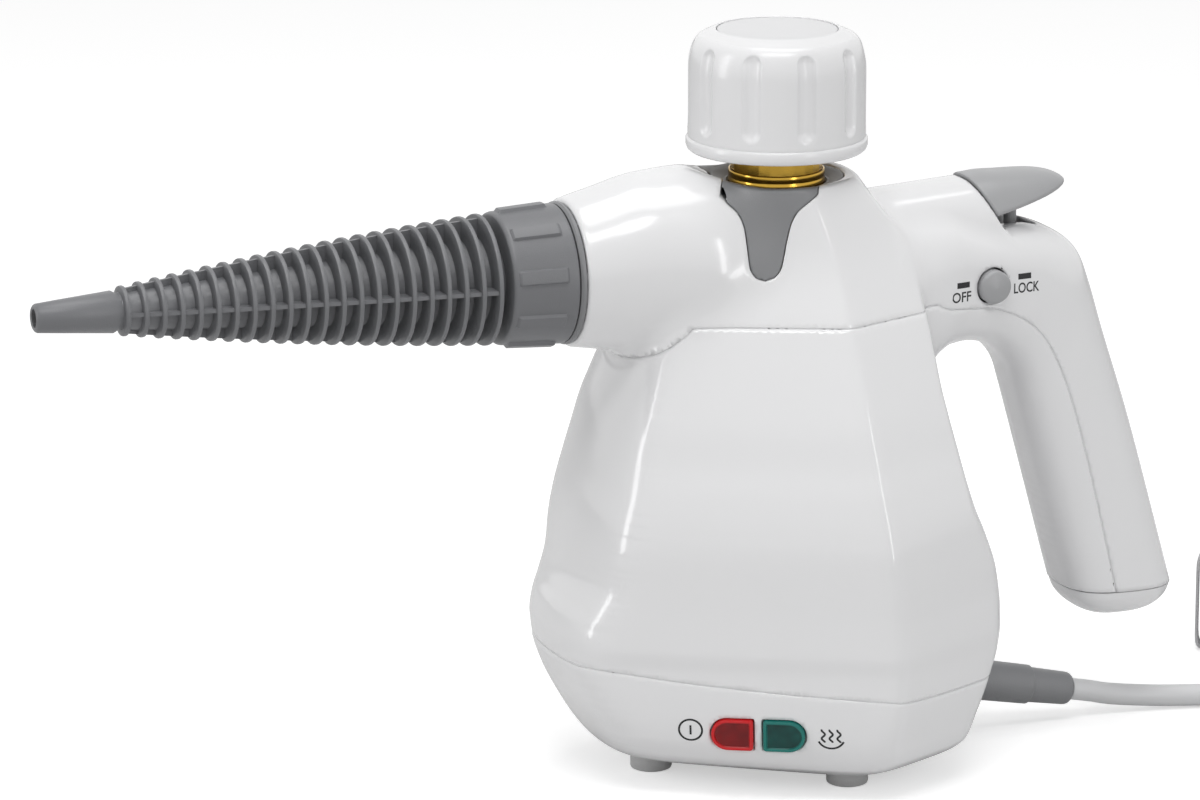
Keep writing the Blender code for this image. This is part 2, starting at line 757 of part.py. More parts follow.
def root_form(name, grow=0.0, extend=0.0):
    """The nozzle root: ovals along X, round at the end."""
    rings = []
    for i, (reach, top, bottom, half) in enumerate(ROOT_SHARES):
        x = -reach * ROOT_END - (extend if i == 0 else 0)
        high = NOZZLE_AXIS_Z + top * ROOT_RADIUS + grow
        low = NOZZLE_AXIS_Z + bottom * ROOT_RADIUS - grow
        width = half * ROOT_RADIUS + grow
        rings.append(oval_ring((x, 0, (high + low) / 2), (0, width, 0), (0, 0, (high - low) / 2), 2, ROOT_SIDES))
    return loft(name, rings)


def handle_sections(grow=0.0):
    """Centre, depth vector and half width of each section of the handle, from its inner and outer lines."""
    sections = []
    for inner_x, inner_z, outer_x, outer_z, width in HANDLE_SHARES:
        inner = Vector((inner_x * HANDLE_REACH, 0, inner_z * HANDLE_TOP))
        outer = Vector((outer_x * HANDLE_REACH, 0, outer_z * HANDLE_TOP))
        depth = (outer - inner) / 2
        depth = depth.normalized() * (depth.length + grow)
        sections.append(((inner + outer) / 2, depth, width * GRIP_HALF + grow))
    return sections


def handle_form(name, grow=0.0):
    rings = []
    for i, (centre, depth, half) in enumerate(handle_sections(grow)):
        start = Vector((min(grow, 0), 0, 0)) if i == 0 else Vector()
        rings.append(oval_ring(centre + start, (0, half, 0), depth, GRIP_POWER, GRIP_SIDES))
    return loft(name, rings)


def hood_form(name, grow=0.0):
    """The hood: ovals along X, cut off at the raked joint."""
    rings = []
    for x, top, width in (
        (HOOD_FRONT, HOOD_TOP - WALL, HOOD_WIDTH),
        (RAKE_TOP_X, HOOD_TOP, HOOD_WIDTH),
        (HOOD_REAR, HOOD_TOP, HOOD_WIDTH - WALL),
    ):
        rise = top - HOOD_CENTRE + grow
        rings.append(
            oval_ring((x, 0, HOOD_CENTRE), (0, width / 2 + grow, 0), (0, 0, rise), HOOD_POWER, HOOD_SIDES)
        )
    return loft(name, rings)


def rake_block(name, shift=0.0, behind=True):
    """Everything behind the raked joint between hood and trigger, or everything before it."""
    rake = math.radians(RAKE_DEGREES)
    along = Vector((math.sin(rake), 0, -math.cos(rake)))
    outward = Vector((math.cos(rake), 0, math.sin(rake)))
    start = Vector((RAKE_TOP_X, 0, HOOD_TOP)) + outward * shift
    span = HOOD_TOP
    away = outward if behind else -outward
    corners = [start - along * span, start + along * span]
    corners += [corners[1] + away * span, corners[0] + away * span]
    outline = [(p.x, p.z) for p in corners]
    return plate(name, outline, HANDLE_REACH, matrix=from_side(0, 0, 0))


def seam_line(shares, reach, height, offset):
    """A seam's points, moved square to the line: up and outwards where the offset is positive."""
    points = [Vector((x * reach, z * height)) for x, z in shares]
    moved = []
    for i, point in enumerate(points):
        before = points[max(i - 1, 0)]
        after = points[min(i + 1, len(points) - 1)]
        along = (after - before).normalized()
        moved.append(point + Vector((-along.y, along.x)) * offset)
    return moved


def cover_region(name, offset):
    """Everything above and behind the seam, as seen from the side."""
    line = [(p.x, p.y) for p in seam_line(SEAM_SHARES, HANDLE_REACH, COVER_SEAM, offset)]
    far = HANDLE_REACH + OVERRUN
    outline = [*line, (far, line[-1][1]), (far, CAP_TOP), (line[0][0], CAP_TOP)]
    return plate(name, outline, HANDLE_REACH * 2, matrix=from_side(0, 0, 0))


def base_region(name, offset):
    """Everything below the base seam, as seen from the side."""
    line = [(p.x, p.y) for p in seam_line(BASE_SEAM_SHARES, BODY_REACH, BASE_SEAM, offset)]
    outline = [*line, (line[-1][0], -OVERRUN), (line[0][0], -OVERRUN)]
    return plate(name, outline, HANDLE_REACH * 2, matrix=from_side(0, 0, 0))


def trim_region(name, grow=0.0):
    """The neck trim's place in the cover: a disc round the neck and a tongue down each side facet."""
    height = TONGUE_ROOT_Z - TONGUE_TIP_Z
    right = [(w * TONGUE_SPAN, TONGUE_TIP_Z + h * height) for w, h in TONGUE_SHARES]
    outline = []
    for x, z in right:
        outline.append((x + (grow if x else 0), z - (0 if x else grow)))
    outline += [(-x, z) for x, z in reversed(outline[:-1])]
    disc = turned(
        name,
        [
            (0, SHOULDER + OVERRUN),
            (NECK_RIM + grow, SHOULDER + OVERRUN),
            (NECK_RIM + grow, SHOULDER - OVERRUN),
            (0, SHOULDER - OVERRUN),
        ],
        segments=OUTER_SIDES,
    )
    for hand in (-1, 1):
        turn = Matrix.Rotation(hand * math.radians(90 + TONGUE_TURN), 4, "Z")
        stand = Matrix.Translation((NECK_RIM / 2, 0, 0)) @ Matrix.Rotation(math.pi / 2, 4, "Y")
        stand = stand @ Matrix.Rotation(math.pi / 2, 4, "Z")
        side = plate(f"{name}_{'near' if hand < 0 else 'far'}", outline, TONGUE_REACH, matrix=turn @ stand, centred=False)
        join(disc, side)
    return disc


# Shared cutters of the housing
inner_body = body_form("inner_body", FLOOR_TOP, SHOULDER - WALL, -WALL, INNER_SIDES)
inner_root = root_form("inner_root", -WALL, OVERRUN)
inner_handle = handle_form("inner_handle", -WALL)
inner_hood = hood_form("inner_hood", -WALL)
cut(inner_hood, rake_block("hood_mouth", JOINT_GAP))
below_handle = block(
    "below_handle",
    (RELIEF_X, -HANDLE_REACH, -OVERRUN),
    (HANDLE_REACH + OVERRUN, HANDLE_REACH, HANDLE_END),
)
neck_hole = rod(
    "neck_hole", NECK_RADIUS + RUNNING_GAP, (0, 0, COVER_SEAM), (0, 0, SHOULDER + OVERRUN), segments=NECK_SEGMENTS
)
lock_hole = rod(
    "lock_hole",
    LOCK_DIAMETER / 2 + RUNNING_GAP,
    (LOCK_X, -GRIP_WIDTH, LOCK_Z),
    (LOCK_X, GRIP_WIDTH, LOCK_Z),
)
pivot_hole = rod(
    "pivot_hole",
    PIVOT_PIN / 2 + CLEARANCE,
    (PIVOT_X, -HOOD_WIDTH / 2, PIVOT_Z),
    (PIVOT_X, HOOD_WIDTH / 2, PIVOT_Z),
    segments=12,
)
plunger_hole = rod("plunger_hole", PLUNGER_HOLE / 2, (VALVE_X, 0, VALVE_TOP), (VALVE_X, 0, HOOD_TOP), segments=16)


def half_width_at(x, z):
    """The handle's half width where it is x from the neck and z high, from the nearest section."""
    best = min(handle_sections(), key=lambda section: abs(section[0].x - x))
    centre, depth, half = best
    share = min(1.0, abs((Vector((x, 0, z)) - centre).dot(depth)) / depth.length_squared)
    return half * (1 - share**GRIP_POWER) ** (1 / GRIP_POWER)


# Feature: the moulded housing, in three shells that share their forms


def top_cover():
    cover = body_form("top_cover", COVER_SEAM - OVERRUN * 3, SHOULDER, finish=WHITE)
    hood = hood_form("hood")
    cut(hood, rake_block("hood_end"))
    join(cover, root_form("nozzle_root"), handle_form("handle"), hood)
    keep(cover, cover_region("cover_side", CLEARANCE / 2))
    cut(cover, inner_body, inner_root, inner_handle, inner_hood)
    wall_y = half_width_at(PIVOT_X, PIVOT_Z) - WALL / 2
    for hand in (-1, 1):
        boss = rod(
            f"pivot_boss_{'near' if hand < 0 else 'far'}",
            PIVOT_BOSS / 2,
            (PIVOT_X, hand * (TONGUE_WIDTH / 2 + RUNNING_GAP), PIVOT_Z),
            (PIVOT_X, hand * wall_y, PIVOT_Z),
            segments=16,
        )
        join(cover, boss)
    cut(cover, trim_region("trim_pocket", CLEARANCE), pivot_hole, lock_hole, plunger_hole, below_handle)
    return cover


def body_shell():
    shell = body_form("body_shell", BASE_SEAM - OVERRUN, COVER_SEAM + OVERRUN, finish=WHITE)
    grip = handle_form("inner_grip")
    join(shell, grip)
    cut(shell, cover_region("shell_side", -CLEARANCE / 2), base_region("below_shell", CLEARANCE / 2))
    cut(shell, inner_body, inner_handle)
    post = block(
        "valve_post",
        (VALVE_X - VALVE_POST_LENGTH / 2, -VALVE_POST_WIDTH / 2, VALVE_BOTTOM - CLEARANCE - VALVE_POST_DEPTH),
        (VALVE_X + VALVE_POST_LENGTH / 2, VALVE_POST_WIDTH / 2, VALVE_BOTTOM - CLEARANCE),
    )
    within = handle_form("within_grip", -WALL / 2)
    keep(post, within)
    join(shell, post)
    cut(shell, below_handle)
    return shell


def handle_end_cap():
    """The dome under the grip, on the outline of its last section."""
    centre, depth, half = handle_sections()[-1]
    rings = []
    for down, share in END_CAP_SHARES:
        z = HANDLE_END - CLEARANCE - down * END_CAP_DEPTH
        middle = Vector((centre.x, 0, z))
        rings.append(
            oval_ring(middle, (0, half * share, 0), (depth.length * share, 0, 0), GRIP_POWER, GRIP_SIDES)
        )
    return loft("handle_end_cap", rings, WHITE)


def neck_trim():
    trim = body_form("neck_trim", COVER_SEAM, SHOULDER, finish=GREY)
    keep(trim, trim_region("trim_outline"))
    cut(trim, inner_body, neck_hole)
    return trim


def side_frame():
    """Origin, direction along the near side facet and outward direction, at the lamps' height."""
    table = np.array(BODY_SHARES)
    share = (LAMP_Z - FOOT_HEIGHT) / BODY_HEIGHT
    turn = math.radians(float(np.interp(share, table[:, 0], table[:, 3])))
    reach = float(np.interp(share, table[:, 0], table[:, 2])) * BODY_REACH
    above = float(np.interp(share + WALL / BODY_HEIGHT, table[:, 0], table[:, 2])) * BODY_REACH
    flat = Vector((-math.sin(turn), -math.cos(turn), 0))
    along = Vector((math.cos(turn), -math.sin(turn), 0))
    outward = (flat * WALL - Vector((0, 0, above - reach))).normalized()
    return flat * reach + Vector((0, 0, LAMP_Z)), along, outward


def lens_outline(grow, hand):
    """A D: straight on one side and round on the other."""
    half, tall = LENS_WIDTH / 2 + grow, LENS_HEIGHT / 2 + grow
    points = [(-half, tall), (-half, -tall)]
    start = half - tall
    for i in range(LENS_ARC_POINTS):
        angle = -math.pi / 2 + math.pi * i / (LENS_ARC_POINTS - 1)
        points.append((start + tall * math.cos(angle), tall * math.sin(angle)))
    return [(hand * x, y) for x, y in points]


def lens_matrix(along_by, out_by):
    origin, along, outward = side_frame()
    up = outward.cross(along)
    turn = Matrix((along, up, outward)).transposed().to_4x4()
    return Matrix.Translation(origin + along * along_by + outward * out_by) @ turn


def lamps():
    holes = []
    for colour, along_by, hand, finish in (
        ("red", RED_PLACE, -1, RED_GLASS),
        ("green", GREEN_PLACE, 1, GREEN_GLASS),
    ):
        depth = LENS_PROUD + LENS_DEPTH
        middle = (LENS_PROUD - LENS_DEPTH) / 2
        plate(f"{colour}_lens", lens_outline(0, hand), depth, finish, lens_matrix(along_by, middle))
        hole = plate(
            f"{colour}_window", lens_outline(CLEARANCE, hand), WALL * 4, matrix=lens_matrix(along_by, 0)
        )
        holes.append(hole)
        origin, along, outward = side_frame()
        level = Vector((outward.x, outward.y, 0)).normalized()
        back = origin + along * along_by - level * (BOARD_SET_BACK - CLEARANCE)
        front = origin + along * along_by - level * (LENS_DEPTH + RUNNING_GAP * 2)
        rod(f"{colour}_lamp", LAMP_DIAMETER / 2, back, front, finish, segments=12)
    return holes


def lamp_board():
    origin, along, outward = side_frame()
    level = Vector((outward.x, outward.y, 0)).normalized()
    middle = (RED_PLACE + GREEN_PLACE) / 2
    centre = origin + along * middle - level * (BOARD_SET_BACK + BOARD_THICKNESS / 2)
    turn = math.atan2(along.y, along.x)
    board = block(
        "lamp_board",
        (-BOARD_LENGTH / 2, -BOARD_THICKNESS / 2, BOARD_BOTTOM),
        (BOARD_LENGTH / 2, BOARD_THICKNESS / 2, BOARD_TOP),
        BOARD,
    )
    board.location = (centre.x, centre.y, 0)
    board.rotation_euler = (0, 0, turn)
    return board


def relief_turn():
    return (0, math.pi / 2 + math.radians(RELIEF_DROOP), 0)


def leg_places():
    for i in range(4):
        angle = FULL_TURN * (i + 0.5) / 4
        yield BOILER_X + LEG_RADIUS * math.cos(angle), LEG_RADIUS * math.sin(angle), angle


def base_shell():
    shell = body_form("base_shell", FOOT_HEIGHT, BASE_SEAM + OVERRUN * 2, finish=WHITE)
    keep(shell, base_region("base_side", -CLEARANCE / 2))
    cut(shell, inner_body, *lamps())
    gland = rod(
        "gland_hole", BOOT_RADIUS + CLEARANCE, (0, 0, -BOOT_LENGTH / 2), (0, 0, BOOT_LENGTH / 2), segments=20
    )
    gland.location = (RELIEF_X, 0, RELIEF_Z)
    gland.rotation_euler = relief_turn()
    middle = bpy.data.objects["gland_hole"].data
    middle.transform(Matrix.Translation((0, 0, -BOOT_LENGTH / 2)))
    cut(shell, gland)
    for i, (x, y, _) in enumerate(leg_places()):
        recess = turned(
            f"screw_recess_{i + 1}",
            [
                (0, FLOOR_TOP + OVERRUN),
                (SCREW_SHANK / 2 + CLEARANCE, FLOOR_TOP + OVERRUN),
                (SCREW_SHANK / 2 + CLEARANCE, FOOT_HEIGHT + SCREW_RECESS),
                (SCREW_HEAD / 2 + CLEARANCE, FOOT_HEIGHT + SCREW_RECESS),
                (SCREW_HEAD / 2 + CLEARANCE, 0),
                (0, 0),
            ],
            location=(x, y, 0),
            segments=12,
        )
        cut(shell, recess)
    return shell


def feet():
    places = {
        "front": (FOOT_FRONT_X, 0),
        "near": (FOOT_SIDE_X, -FOOT_SIDE_Y),
        "far": (FOOT_SIDE_X, FOOT_SIDE_Y),
        "rear": (FOOT_REAR_X, 0),
    }
    top = FOOT_HEIGHT + FOOT_RISE
    underside = body_form("underside", FOOT_HEIGHT - CLEARANCE, BASE_SEAM, CLEARANCE)
    for name, (x, y) in places.items():
        profile = [
            (0, top),
            (FOOT_RADIUS, top),
            (FOOT_RADIUS, FOOT_CHAMFER - FLOOR_DROP),
            (FOOT_RADIUS - FOOT_CHAMFER, -FLOOR_DROP),
            (0, -FLOOR_DROP),
        ]
        foot = turned(f"foot_{name}", profile, RUBBER, (x, y, 0), segments=16)
        cut(foot, underside)


# Boiler


def boiler():
    inner = BOILER_RADIUS - BOILER_WALL
    rim_under = BOILER_TOP - BOILER_RIM_HEIGHT
    floor = BOILER_BOTTOM + BOILER_WALL
    middle = (BOILER_X, 0, 0)
    turned(
        "boiler_pot",
        [
            (inner, BOILER_TOP),
            (BOILER_RIM, BOILER_TOP),
            (BOILER_RIM, rim_under),
            (BOILER_RADIUS, rim_under),
            (BOILER_RADIUS, BOILER_BOTTOM + BOILER_WALL),
            (BOILER_RADIUS - BOILER_WALL, BOILER_BOTTOM),
            (0, BOILER_BOTTOM),
            (0, floor),
            (inner, floor),
            (inner, BOILER_TOP),
        ],
        ALUMINIUM,
        middle,
        segments=BOILER_SEGMENTS,
    )
    low = BOILER_TOP + CLEARANCE
    turned(
        "boiler_gasket",
        [
            (BOILER_RIM - GASKET_WIDTH, low + GASKET_HEIGHT),
            (BOILER_RIM, low + GASKET_HEIGHT),
            (BOILER_RIM, low),
            (BOILER_RIM - GASKET_WIDTH, low),
        ],
        BLACK_RUBBER,
        middle,
        segments=BOILER_SEGMENTS,
        ring=True,
    )


def lid_levels():
    """The lid's underside at its edge, the top of its edge and the top of its plateau."""
    low = BOILER_TOP + GASKET_HEIGHT + 2 * CLEARANCE
    return low, low + LID_EDGE, low + LID_RISE


def boiler_lid():
    low, edge, top = lid_levels()
    shoulder = BOILER_RIM - BOILER_WALL
    lid = turned(
        "boiler_lid",
        [
            (0, top),
            (LID_PLATEAU, top),
            (shoulder, edge),
            (BOILER_RIM, edge),
            (BOILER_RIM, low),
            (shoulder - BOILER_WALL, low),
            (LID_PLATEAU - BOILER_WALL / 2, top - BOILER_WALL),
            (0, top - BOILER_WALL),
        ],
        ALUMINIUM,
        (BOILER_X, 0, 0),
        segments=BOILER_SEGMENTS,
    )
    cut(lid, rod("lid_hole", NECK_BORE, (0, 0, low), (0, 0, top + OVERRUN), segments=NECK_SEGMENTS))
    return lid


def filler_neck():
    low = lid_levels()[2] + CLEARANCE
    flange = low + NECK_FLANGE_HEIGHT
    turned(
        "filler_neck",
        [
            (NECK_BORE, NECK_TOP),
            (NECK_RADIUS, NECK_TOP),
            (NECK_RADIUS, flange),
            (NECK_FLANGE, flange),
            (NECK_FLANGE, low),
            (NECK_BORE, low),
        ],
        BRASS,
        segments=NECK_SEGMENTS,
        ring=True,
    )


def heater():
    """A tube bent round under the pot, with a leg down at each end."""
    z = BOILER_BOTTOM - CLEARANCE - HEATER_TUBE / 2
    sweep = math.radians(HEATER_DEGREES)
    points = []
    for i in range(HEATER_POINTS):
        angle = -sweep / 2 + sweep * i / (HEATER_POINTS - 1)
        points.append((BOILER_X + HEATER_RADIUS * math.cos(angle), HEATER_RADIUS * math.sin(angle), z))
    for end in (0, -1):
        x, y, _ = points[end]
        foot = [(x, y, z - HEATER_LEG)]
        points = foot + points if end == 0 else points + foot
    tube("heating_element", points, HEATER_TUBE, STEEL, resolution=1)


def thermal_parts():
    top = BOILER_BOTTOM - CLEARANCE
    rod("thermostat", THERMOSTAT_RADIUS, (BOILER_X, 0, top - THERMOSTAT_HEIGHT), (BOILER_X, 0, top), STEEL)
    z = top - FUSE_DIAMETER / 2
    half = FUSE_LENGTH / 2
    rod(
        "thermal_fuse",
        FUSE_DIAMETER / 2,
        (BOILER_X - half, FUSE_Y, z),
        (BOILER_X + half, FUSE_Y, z),
        ALUMINIUM,
        segments=10,
    )


def boiler_bracket():
    """A ring on four legs, which stand on the base and carry the pot."""
    low = BRACKET_PLATE_Z
    high = low + BRACKET_PLATE
    ring = turned(
        "boiler_bracket",
        [(BRACKET_INNER, high), (BRACKET_OUTER, high), (BRACKET_OUTER, low), (BRACKET_INNER, low)],
        STEEL,
        (BOILER_X, 0, 0),
        segments=24,
        ring=True,
    )
    top = BOILER_BOTTOM - CLEARANCE
    half = LEG_SIZE / 2
    for i, (x, y, angle) in enumerate(leg_places()):
        leg = block(f"bracket_leg_{i + 1}", (-half, -half, FLOOR_TOP + CLEARANCE), (half, half, top))
        leg.location = (x, y, 0)
        leg.rotation_euler = (0, 0, angle)
        join(ring, leg)
    for i, (x, y, _) in enumerate(leg_places()):
        hole = rod(
            f"leg_hole_{i + 1}",
            SCREW_SHANK / 2 + CLEARANCE,
            (x, y, 0),
            (x, y, FOOT_HEIGHT + SCREW_LENGTH + OVERRUN / 2),
            segments=12,
        )
        cut(ring, hole)
        head_top = FOOT_HEIGHT + SCREW_RECESS - CLEARANCE
        turned(
            f"bracket_screw_{i + 1}",
            [
                (0, head_top + SCREW_LENGTH),
                (SCREW_SHANK / 2, head_top + SCREW_LENGTH),
                (SCREW_SHANK / 2, head_top),
                (SCREW_HEAD / 2, head_top),
                (SCREW_HEAD / 2, head_top - SCREW_HEAD_HEIGHT),
                (0, head_top - SCREW_HEAD_HEIGHT),
            ],
            STEEL,
            (x, y, 0),
            segments=10,
        )


# Steam path


def steam_valve():
    bore = PLUNGER_DIAMETER / 2 + CLEARANCE
    turned(
        "steam_valve_body",
        [
            (bore, VALVE_TOP),
            (VALVE_RADIUS, VALVE_TOP),
            (VALVE_RADIUS, VALVE_BOTTOM),
            (0, VALVE_BOTTOM),
            (0, VALVE_TOP - VALVE_BORE_DEPTH),
            (bore, VALVE_TOP - VALVE_BORE_DEPTH),
            (bore, VALVE_TOP),
        ],
        BRASS,
        (VALVE_X, 0, 0),
        segments=20,
    )


def pipes():
    """The pipe from the lid to the valve, and the pipe from the valve round the neck to the outlet."""
    rise = lid_levels()[2] + CLEARANCE
    half = PIPE_DIAMETER / 2
    valve_face = math.sqrt(VALVE_RADIUS**2 - (abs(INLET_Y) + half) ** 2)
    end = VALVE_X - VALVE_RADIUS - CLEARANCE
    bend = NECK_RADIUS
    inlet = [
        (INLET_START_X, INLET_Y, rise),
        (INLET_START_X, INLET_Y, rise + PIPE_DIAMETER),
        (INLET_START_X + bend / 4, INLET_Y, (rise + INLET_Z) / 2 + half),
        (INLET_START_X + bend, INLET_Y, INLET_Z),
        (end - valve_face, INLET_Y, INLET_Z),
        (end, INLET_Y, INLET_Z),
    ]
    tube("inlet_pipe", smooth_route(inlet, PIPE_DIAMETER * 1.5), PIPE_DIAMETER, BRASS, resolution=1)
    outlet_end = -(FITTING_INNER_X - CLEARANCE)
    outlet = [
        (end, OUTLET_Y, OUTLET_Z),
        (end - bend, OUTLET_Y, OUTLET_Z),
        (NECK_BYPASS * 1.8, NECK_BYPASS * 0.6, OUTLET_Z + PIPE_DIAMETER),
        (NECK_BYPASS, NECK_BYPASS * 0.95, (OUTLET_Z + NOZZLE_AXIS_Z) / 2 + half),
        (0, NECK_BYPASS, NOZZLE_AXIS_Z - half),
        (-NECK_BYPASS, NECK_BYPASS * 0.75, NOZZLE_AXIS_Z),
        (outlet_end + bend, NECK_BYPASS * 0.2, NOZZLE_AXIS_Z),
        (outlet_end + PIPE_DIAMETER, 0, NOZZLE_AXIS_Z),
        (outlet_end, 0, NOZZLE_AXIS_Z),
    ]
    tube("outlet_pipe", smooth_route(outlet, PIPE_DIAMETER * 2), PIPE_DIAMETER, BRASS, resolution=1)


def outlet():
    """The brass fitting in the housing's mouth, with the spigot that the nozzle slides over, and the grey ring."""
    face = ROOT_END - CLEARANCE
    back = face - FLANGE_THICKNESS
    turned(
        "outlet_fitting",
        [
            (FITTING_BORE, ROOT_END + SPIGOT_LENGTH),
            (FITTING_RADIUS, ROOT_END + SPIGOT_LENGTH),
            (FITTING_RADIUS, face),
            (FITTING_FLANGE, face),
            (FITTING_FLANGE, back),
            (FITTING_TAIL, back),
            (FITTING_TAIL, FITTING_INNER_X),
            (FITTING_BORE, FITTING_INNER_X),
        ],
        BRASS,
        (0, 0, NOZZLE_AXIS_Z),
        TO_FRONT,
        segments=24,
        ring=True,
    )
    near = ROOT_END + CLEARANCE
    turned(
        "outlet_ring",
        [
            (RING_BORE, near + RING_THICKNESS),
            (RING_RADIUS, near + RING_THICKNESS),
            (RING_RADIUS, near),
            (RING_BORE, near),
        ],
        GREY,
        (0, 0, NOZZLE_AXIS_Z),
        TO_FRONT,
        segments=COLLAR_SEGMENTS,
        ring=True,
    )


# Feature: the ringed nozzle


def ring_places():
    """Distance and radius of each ring: even steps, on a slightly crowned cone."""
    for i in range(RING_COUNT):
        share = i / (RING_COUNT - 1)
        reach = FIRST_RING + (LAST_RING - FIRST_RING) * share
        radius = FIRST_RING_RADIUS + (LAST_RING_RADIUS - FIRST_RING_RADIUS) * share
        yield reach, radius + RING_CROWN * share * (1 - share)


def core_radius(reach):
    share = (FIRST_RING - reach) / (FIRST_RING - LAST_RING)
    return CORE_START + (CORE_END - CORE_START) * min(max(share, 0), 1)


def nozzle_ring(reach, radius, rib=0.0):
    """A round section of the cone, with the ribs standing out of it where a rib radius is given."""
    half = RIB_THICKNESS / 2
    quarter = FULL_TURN / RIB_COUNT
    points = []
    for i in range(RIB_COUNT):
        crest = rib or radius
        if rib:
            corner = [(-half, math.sqrt(radius**2 - half**2)), (-half, crest), (half, crest)]
            corner.append((half, corner[0][1]))
        else:
            corner = [(half * k, math.sqrt(radius**2 - (half * k) ** 2)) for k in (-2, -1, 1, 2)]
        for k in range(NOZZLE_QUARTER_POINTS):
            turn = quarter * (k + 1) / (NOZZLE_QUARTER_POINTS + 1)
            corner.append((radius * math.sin(turn), radius * math.cos(turn)))
        c, s = math.cos(quarter * i), math.sin(quarter * i)
        for y, z in corner:
            points.append((-reach, y * c + z * s, NOZZLE_AXIS_Z - y * s + z * c))
    return points


def nozzle_cone():
    """The core, the tip, the rings and the four ribs between them, bored through for the jet and the spigot."""
    half = RIM / 2
    places = list(ring_places())
    throat = COLLAR_FRONT - COLLAR_WALL - CLEARANCE
    sections = [
        (NOZZLE_REACH, TIP_RADIUS - TIP_ROUNDING, 0),
        (NOZZLE_REACH - TIP_ROUNDING, TIP_RADIUS, 0),
        (TIP_CONE_END, TIP_CONE_RADIUS, 0),
        (TIP_CONE_END - TIP_ROUNDING, CORE_START, 0),
    ]
    for i, (reach, radius) in enumerate(places):
        core = core_radius(reach)
        rib = radius - RIB_SET_BACK
        sections.append((reach + half, core, rib if i else 0))
        sections.append((reach + half, radius, 0))
        sections.append((reach - half, radius, 0))
        sections.append((reach - half, core, rib))
    sections += [
        (COLLAR_FRONT + 2 * CLEARANCE, CORE_END, places[-1][1] - RIB_SET_BACK),
        (COLLAR_FRONT + CLEARANCE, CONE_NECK, 0),
        (throat, CONE_NECK, 0),
        (throat, CONE_FLANGE, 0),
        (throat - CONE_FLANGE_THICKNESS, CONE_FLANGE, 0),
        (throat - CONE_FLANGE_THICKNESS, SOCKET_OUTER, 0),
        (SOCKET_REAR, SOCKET_OUTER, 0),
    ]
    cone = loft("nozzle_cone", [nozzle_ring(*section) for section in sections], GREY)
    seal_floor = ROOT_END + SPIGOT_LENGTH + SEAL_THICKNESS + 2 * CLEARANCE
    jet_end = NOZZLE_REACH - JET_INSET
    bore = turned(
        "nozzle_bore",
        [
            (0, NOZZLE_REACH + OVERRUN),
            (JET_HOLE / 2, NOZZLE_REACH + OVERRUN),
            (JET_HOLE / 2, jet_end),
            (JET_RADIUS + CLEARANCE, jet_end),
            (JET_RADIUS + CLEARANCE, seal_floor),
            (SOCKET_BORE, seal_floor),
            (SOCKET_BORE, SOCKET_REAR - OVERRUN),
            (0, SOCKET_REAR - OVERRUN),
        ],
        location=(0, 0, NOZZLE_AXIS_Z),
        rotation=TO_FRONT,
        segments=16,
    )
    cut(cone, bore)
    return cone


def nozzle_collar():
    rear = ROOT_END + CLEARANCE + RING_THICKNESS + COLLAR_GAP
    inner_front = COLLAR_FRONT - COLLAR_WALL
    collar = turned(
        "nozzle_collar",
        [
            (COLLAR_HOLE, COLLAR_FRONT),
            (COLLAR_FRONT_RADIUS - PAD_BEVEL, COLLAR_FRONT),
            (COLLAR_FRONT_RADIUS, COLLAR_FRONT - PAD_BEVEL),
            (COLLAR_REAR_RADIUS, rear),
            (COLLAR_BORE, rear),
            (COLLAR_BORE, inner_front),
            (COLLAR_HOLE, inner_front),
        ],
        GREY,
        (0, 0, NOZZLE_AXIS_Z),
        TO_FRONT,
        segments=COLLAR_SEGMENTS,
        ring=True,
    )
    front = -(COLLAR_FRONT - PAD_SET_BACK)
    slope = math.atan2(COLLAR_REAR_RADIUS - COLLAR_FRONT_RADIUS, COLLAR_FRONT - rear)
    for i in range(PAD_COUNT):
        pad = block(
            f"collar_pad_{i + 1}",
            (0, -PAD_WIDTH / 2, COLLAR_FRONT_RADIUS - PAD_HEIGHT),
            (PAD_LENGTH, PAD_WIDTH / 2, COLLAR_FRONT_RADIUS + PAD_HEIGHT),
        )
        bevel = pad.modifiers.new("edges", "BEVEL")
        bevel.width = PAD_BEVEL
        bevel.segments = 1
        angle = math.pi / 2 - math.radians(PAD_FIRST_DEGREES) + FULL_TURN * i / PAD_COUNT
        tilt = Matrix.Translation((0, 0, COLLAR_FRONT_RADIUS)) @ Matrix.Rotation(-slope, 4, "Y")
        tilt = tilt @ Matrix.Translation((0, 0, -COLLAR_FRONT_RADIUS))
        pad.data.transform(Matrix.Rotation(angle, 4, "X") @ tilt)
        pad.location = (front, 0, NOZZLE_AXIS_Z)
        join(collar, pad)
    return collar


def nozzle_inner():
    spigot_end = ROOT_END + SPIGOT_LENGTH
    low = spigot_end + CLEARANCE
    turned(
        "nozzle_seal",
        [
            (FITTING_BORE, low + SEAL_THICKNESS),
            (SOCKET_BORE - CLEARANCE, low + SEAL_THICKNESS),
            (SOCKET_BORE - CLEARANCE, low),
            (FITTING_BORE, low),
        ],
        BLACK_RUBBER,
        (0, 0, NOZZLE_AXIS_Z),
        TO_FRONT,
        segments=20,
        ring=True,
    )
    back = low + SEAL_THICKNESS + CLEARANCE
    front = NOZZLE_REACH - JET_INSET - CLEARANCE
    turned(
        "nozzle_jet",
        [(JET_BORE, front), (JET_RADIUS, front), (JET_RADIUS, back), (JET_BORE, back)],
        BRASS,
        (0, 0, NOZZLE_AXIS_Z),
        TO_FRONT,
        segments=12,
        ring=True,
    )


# Cap


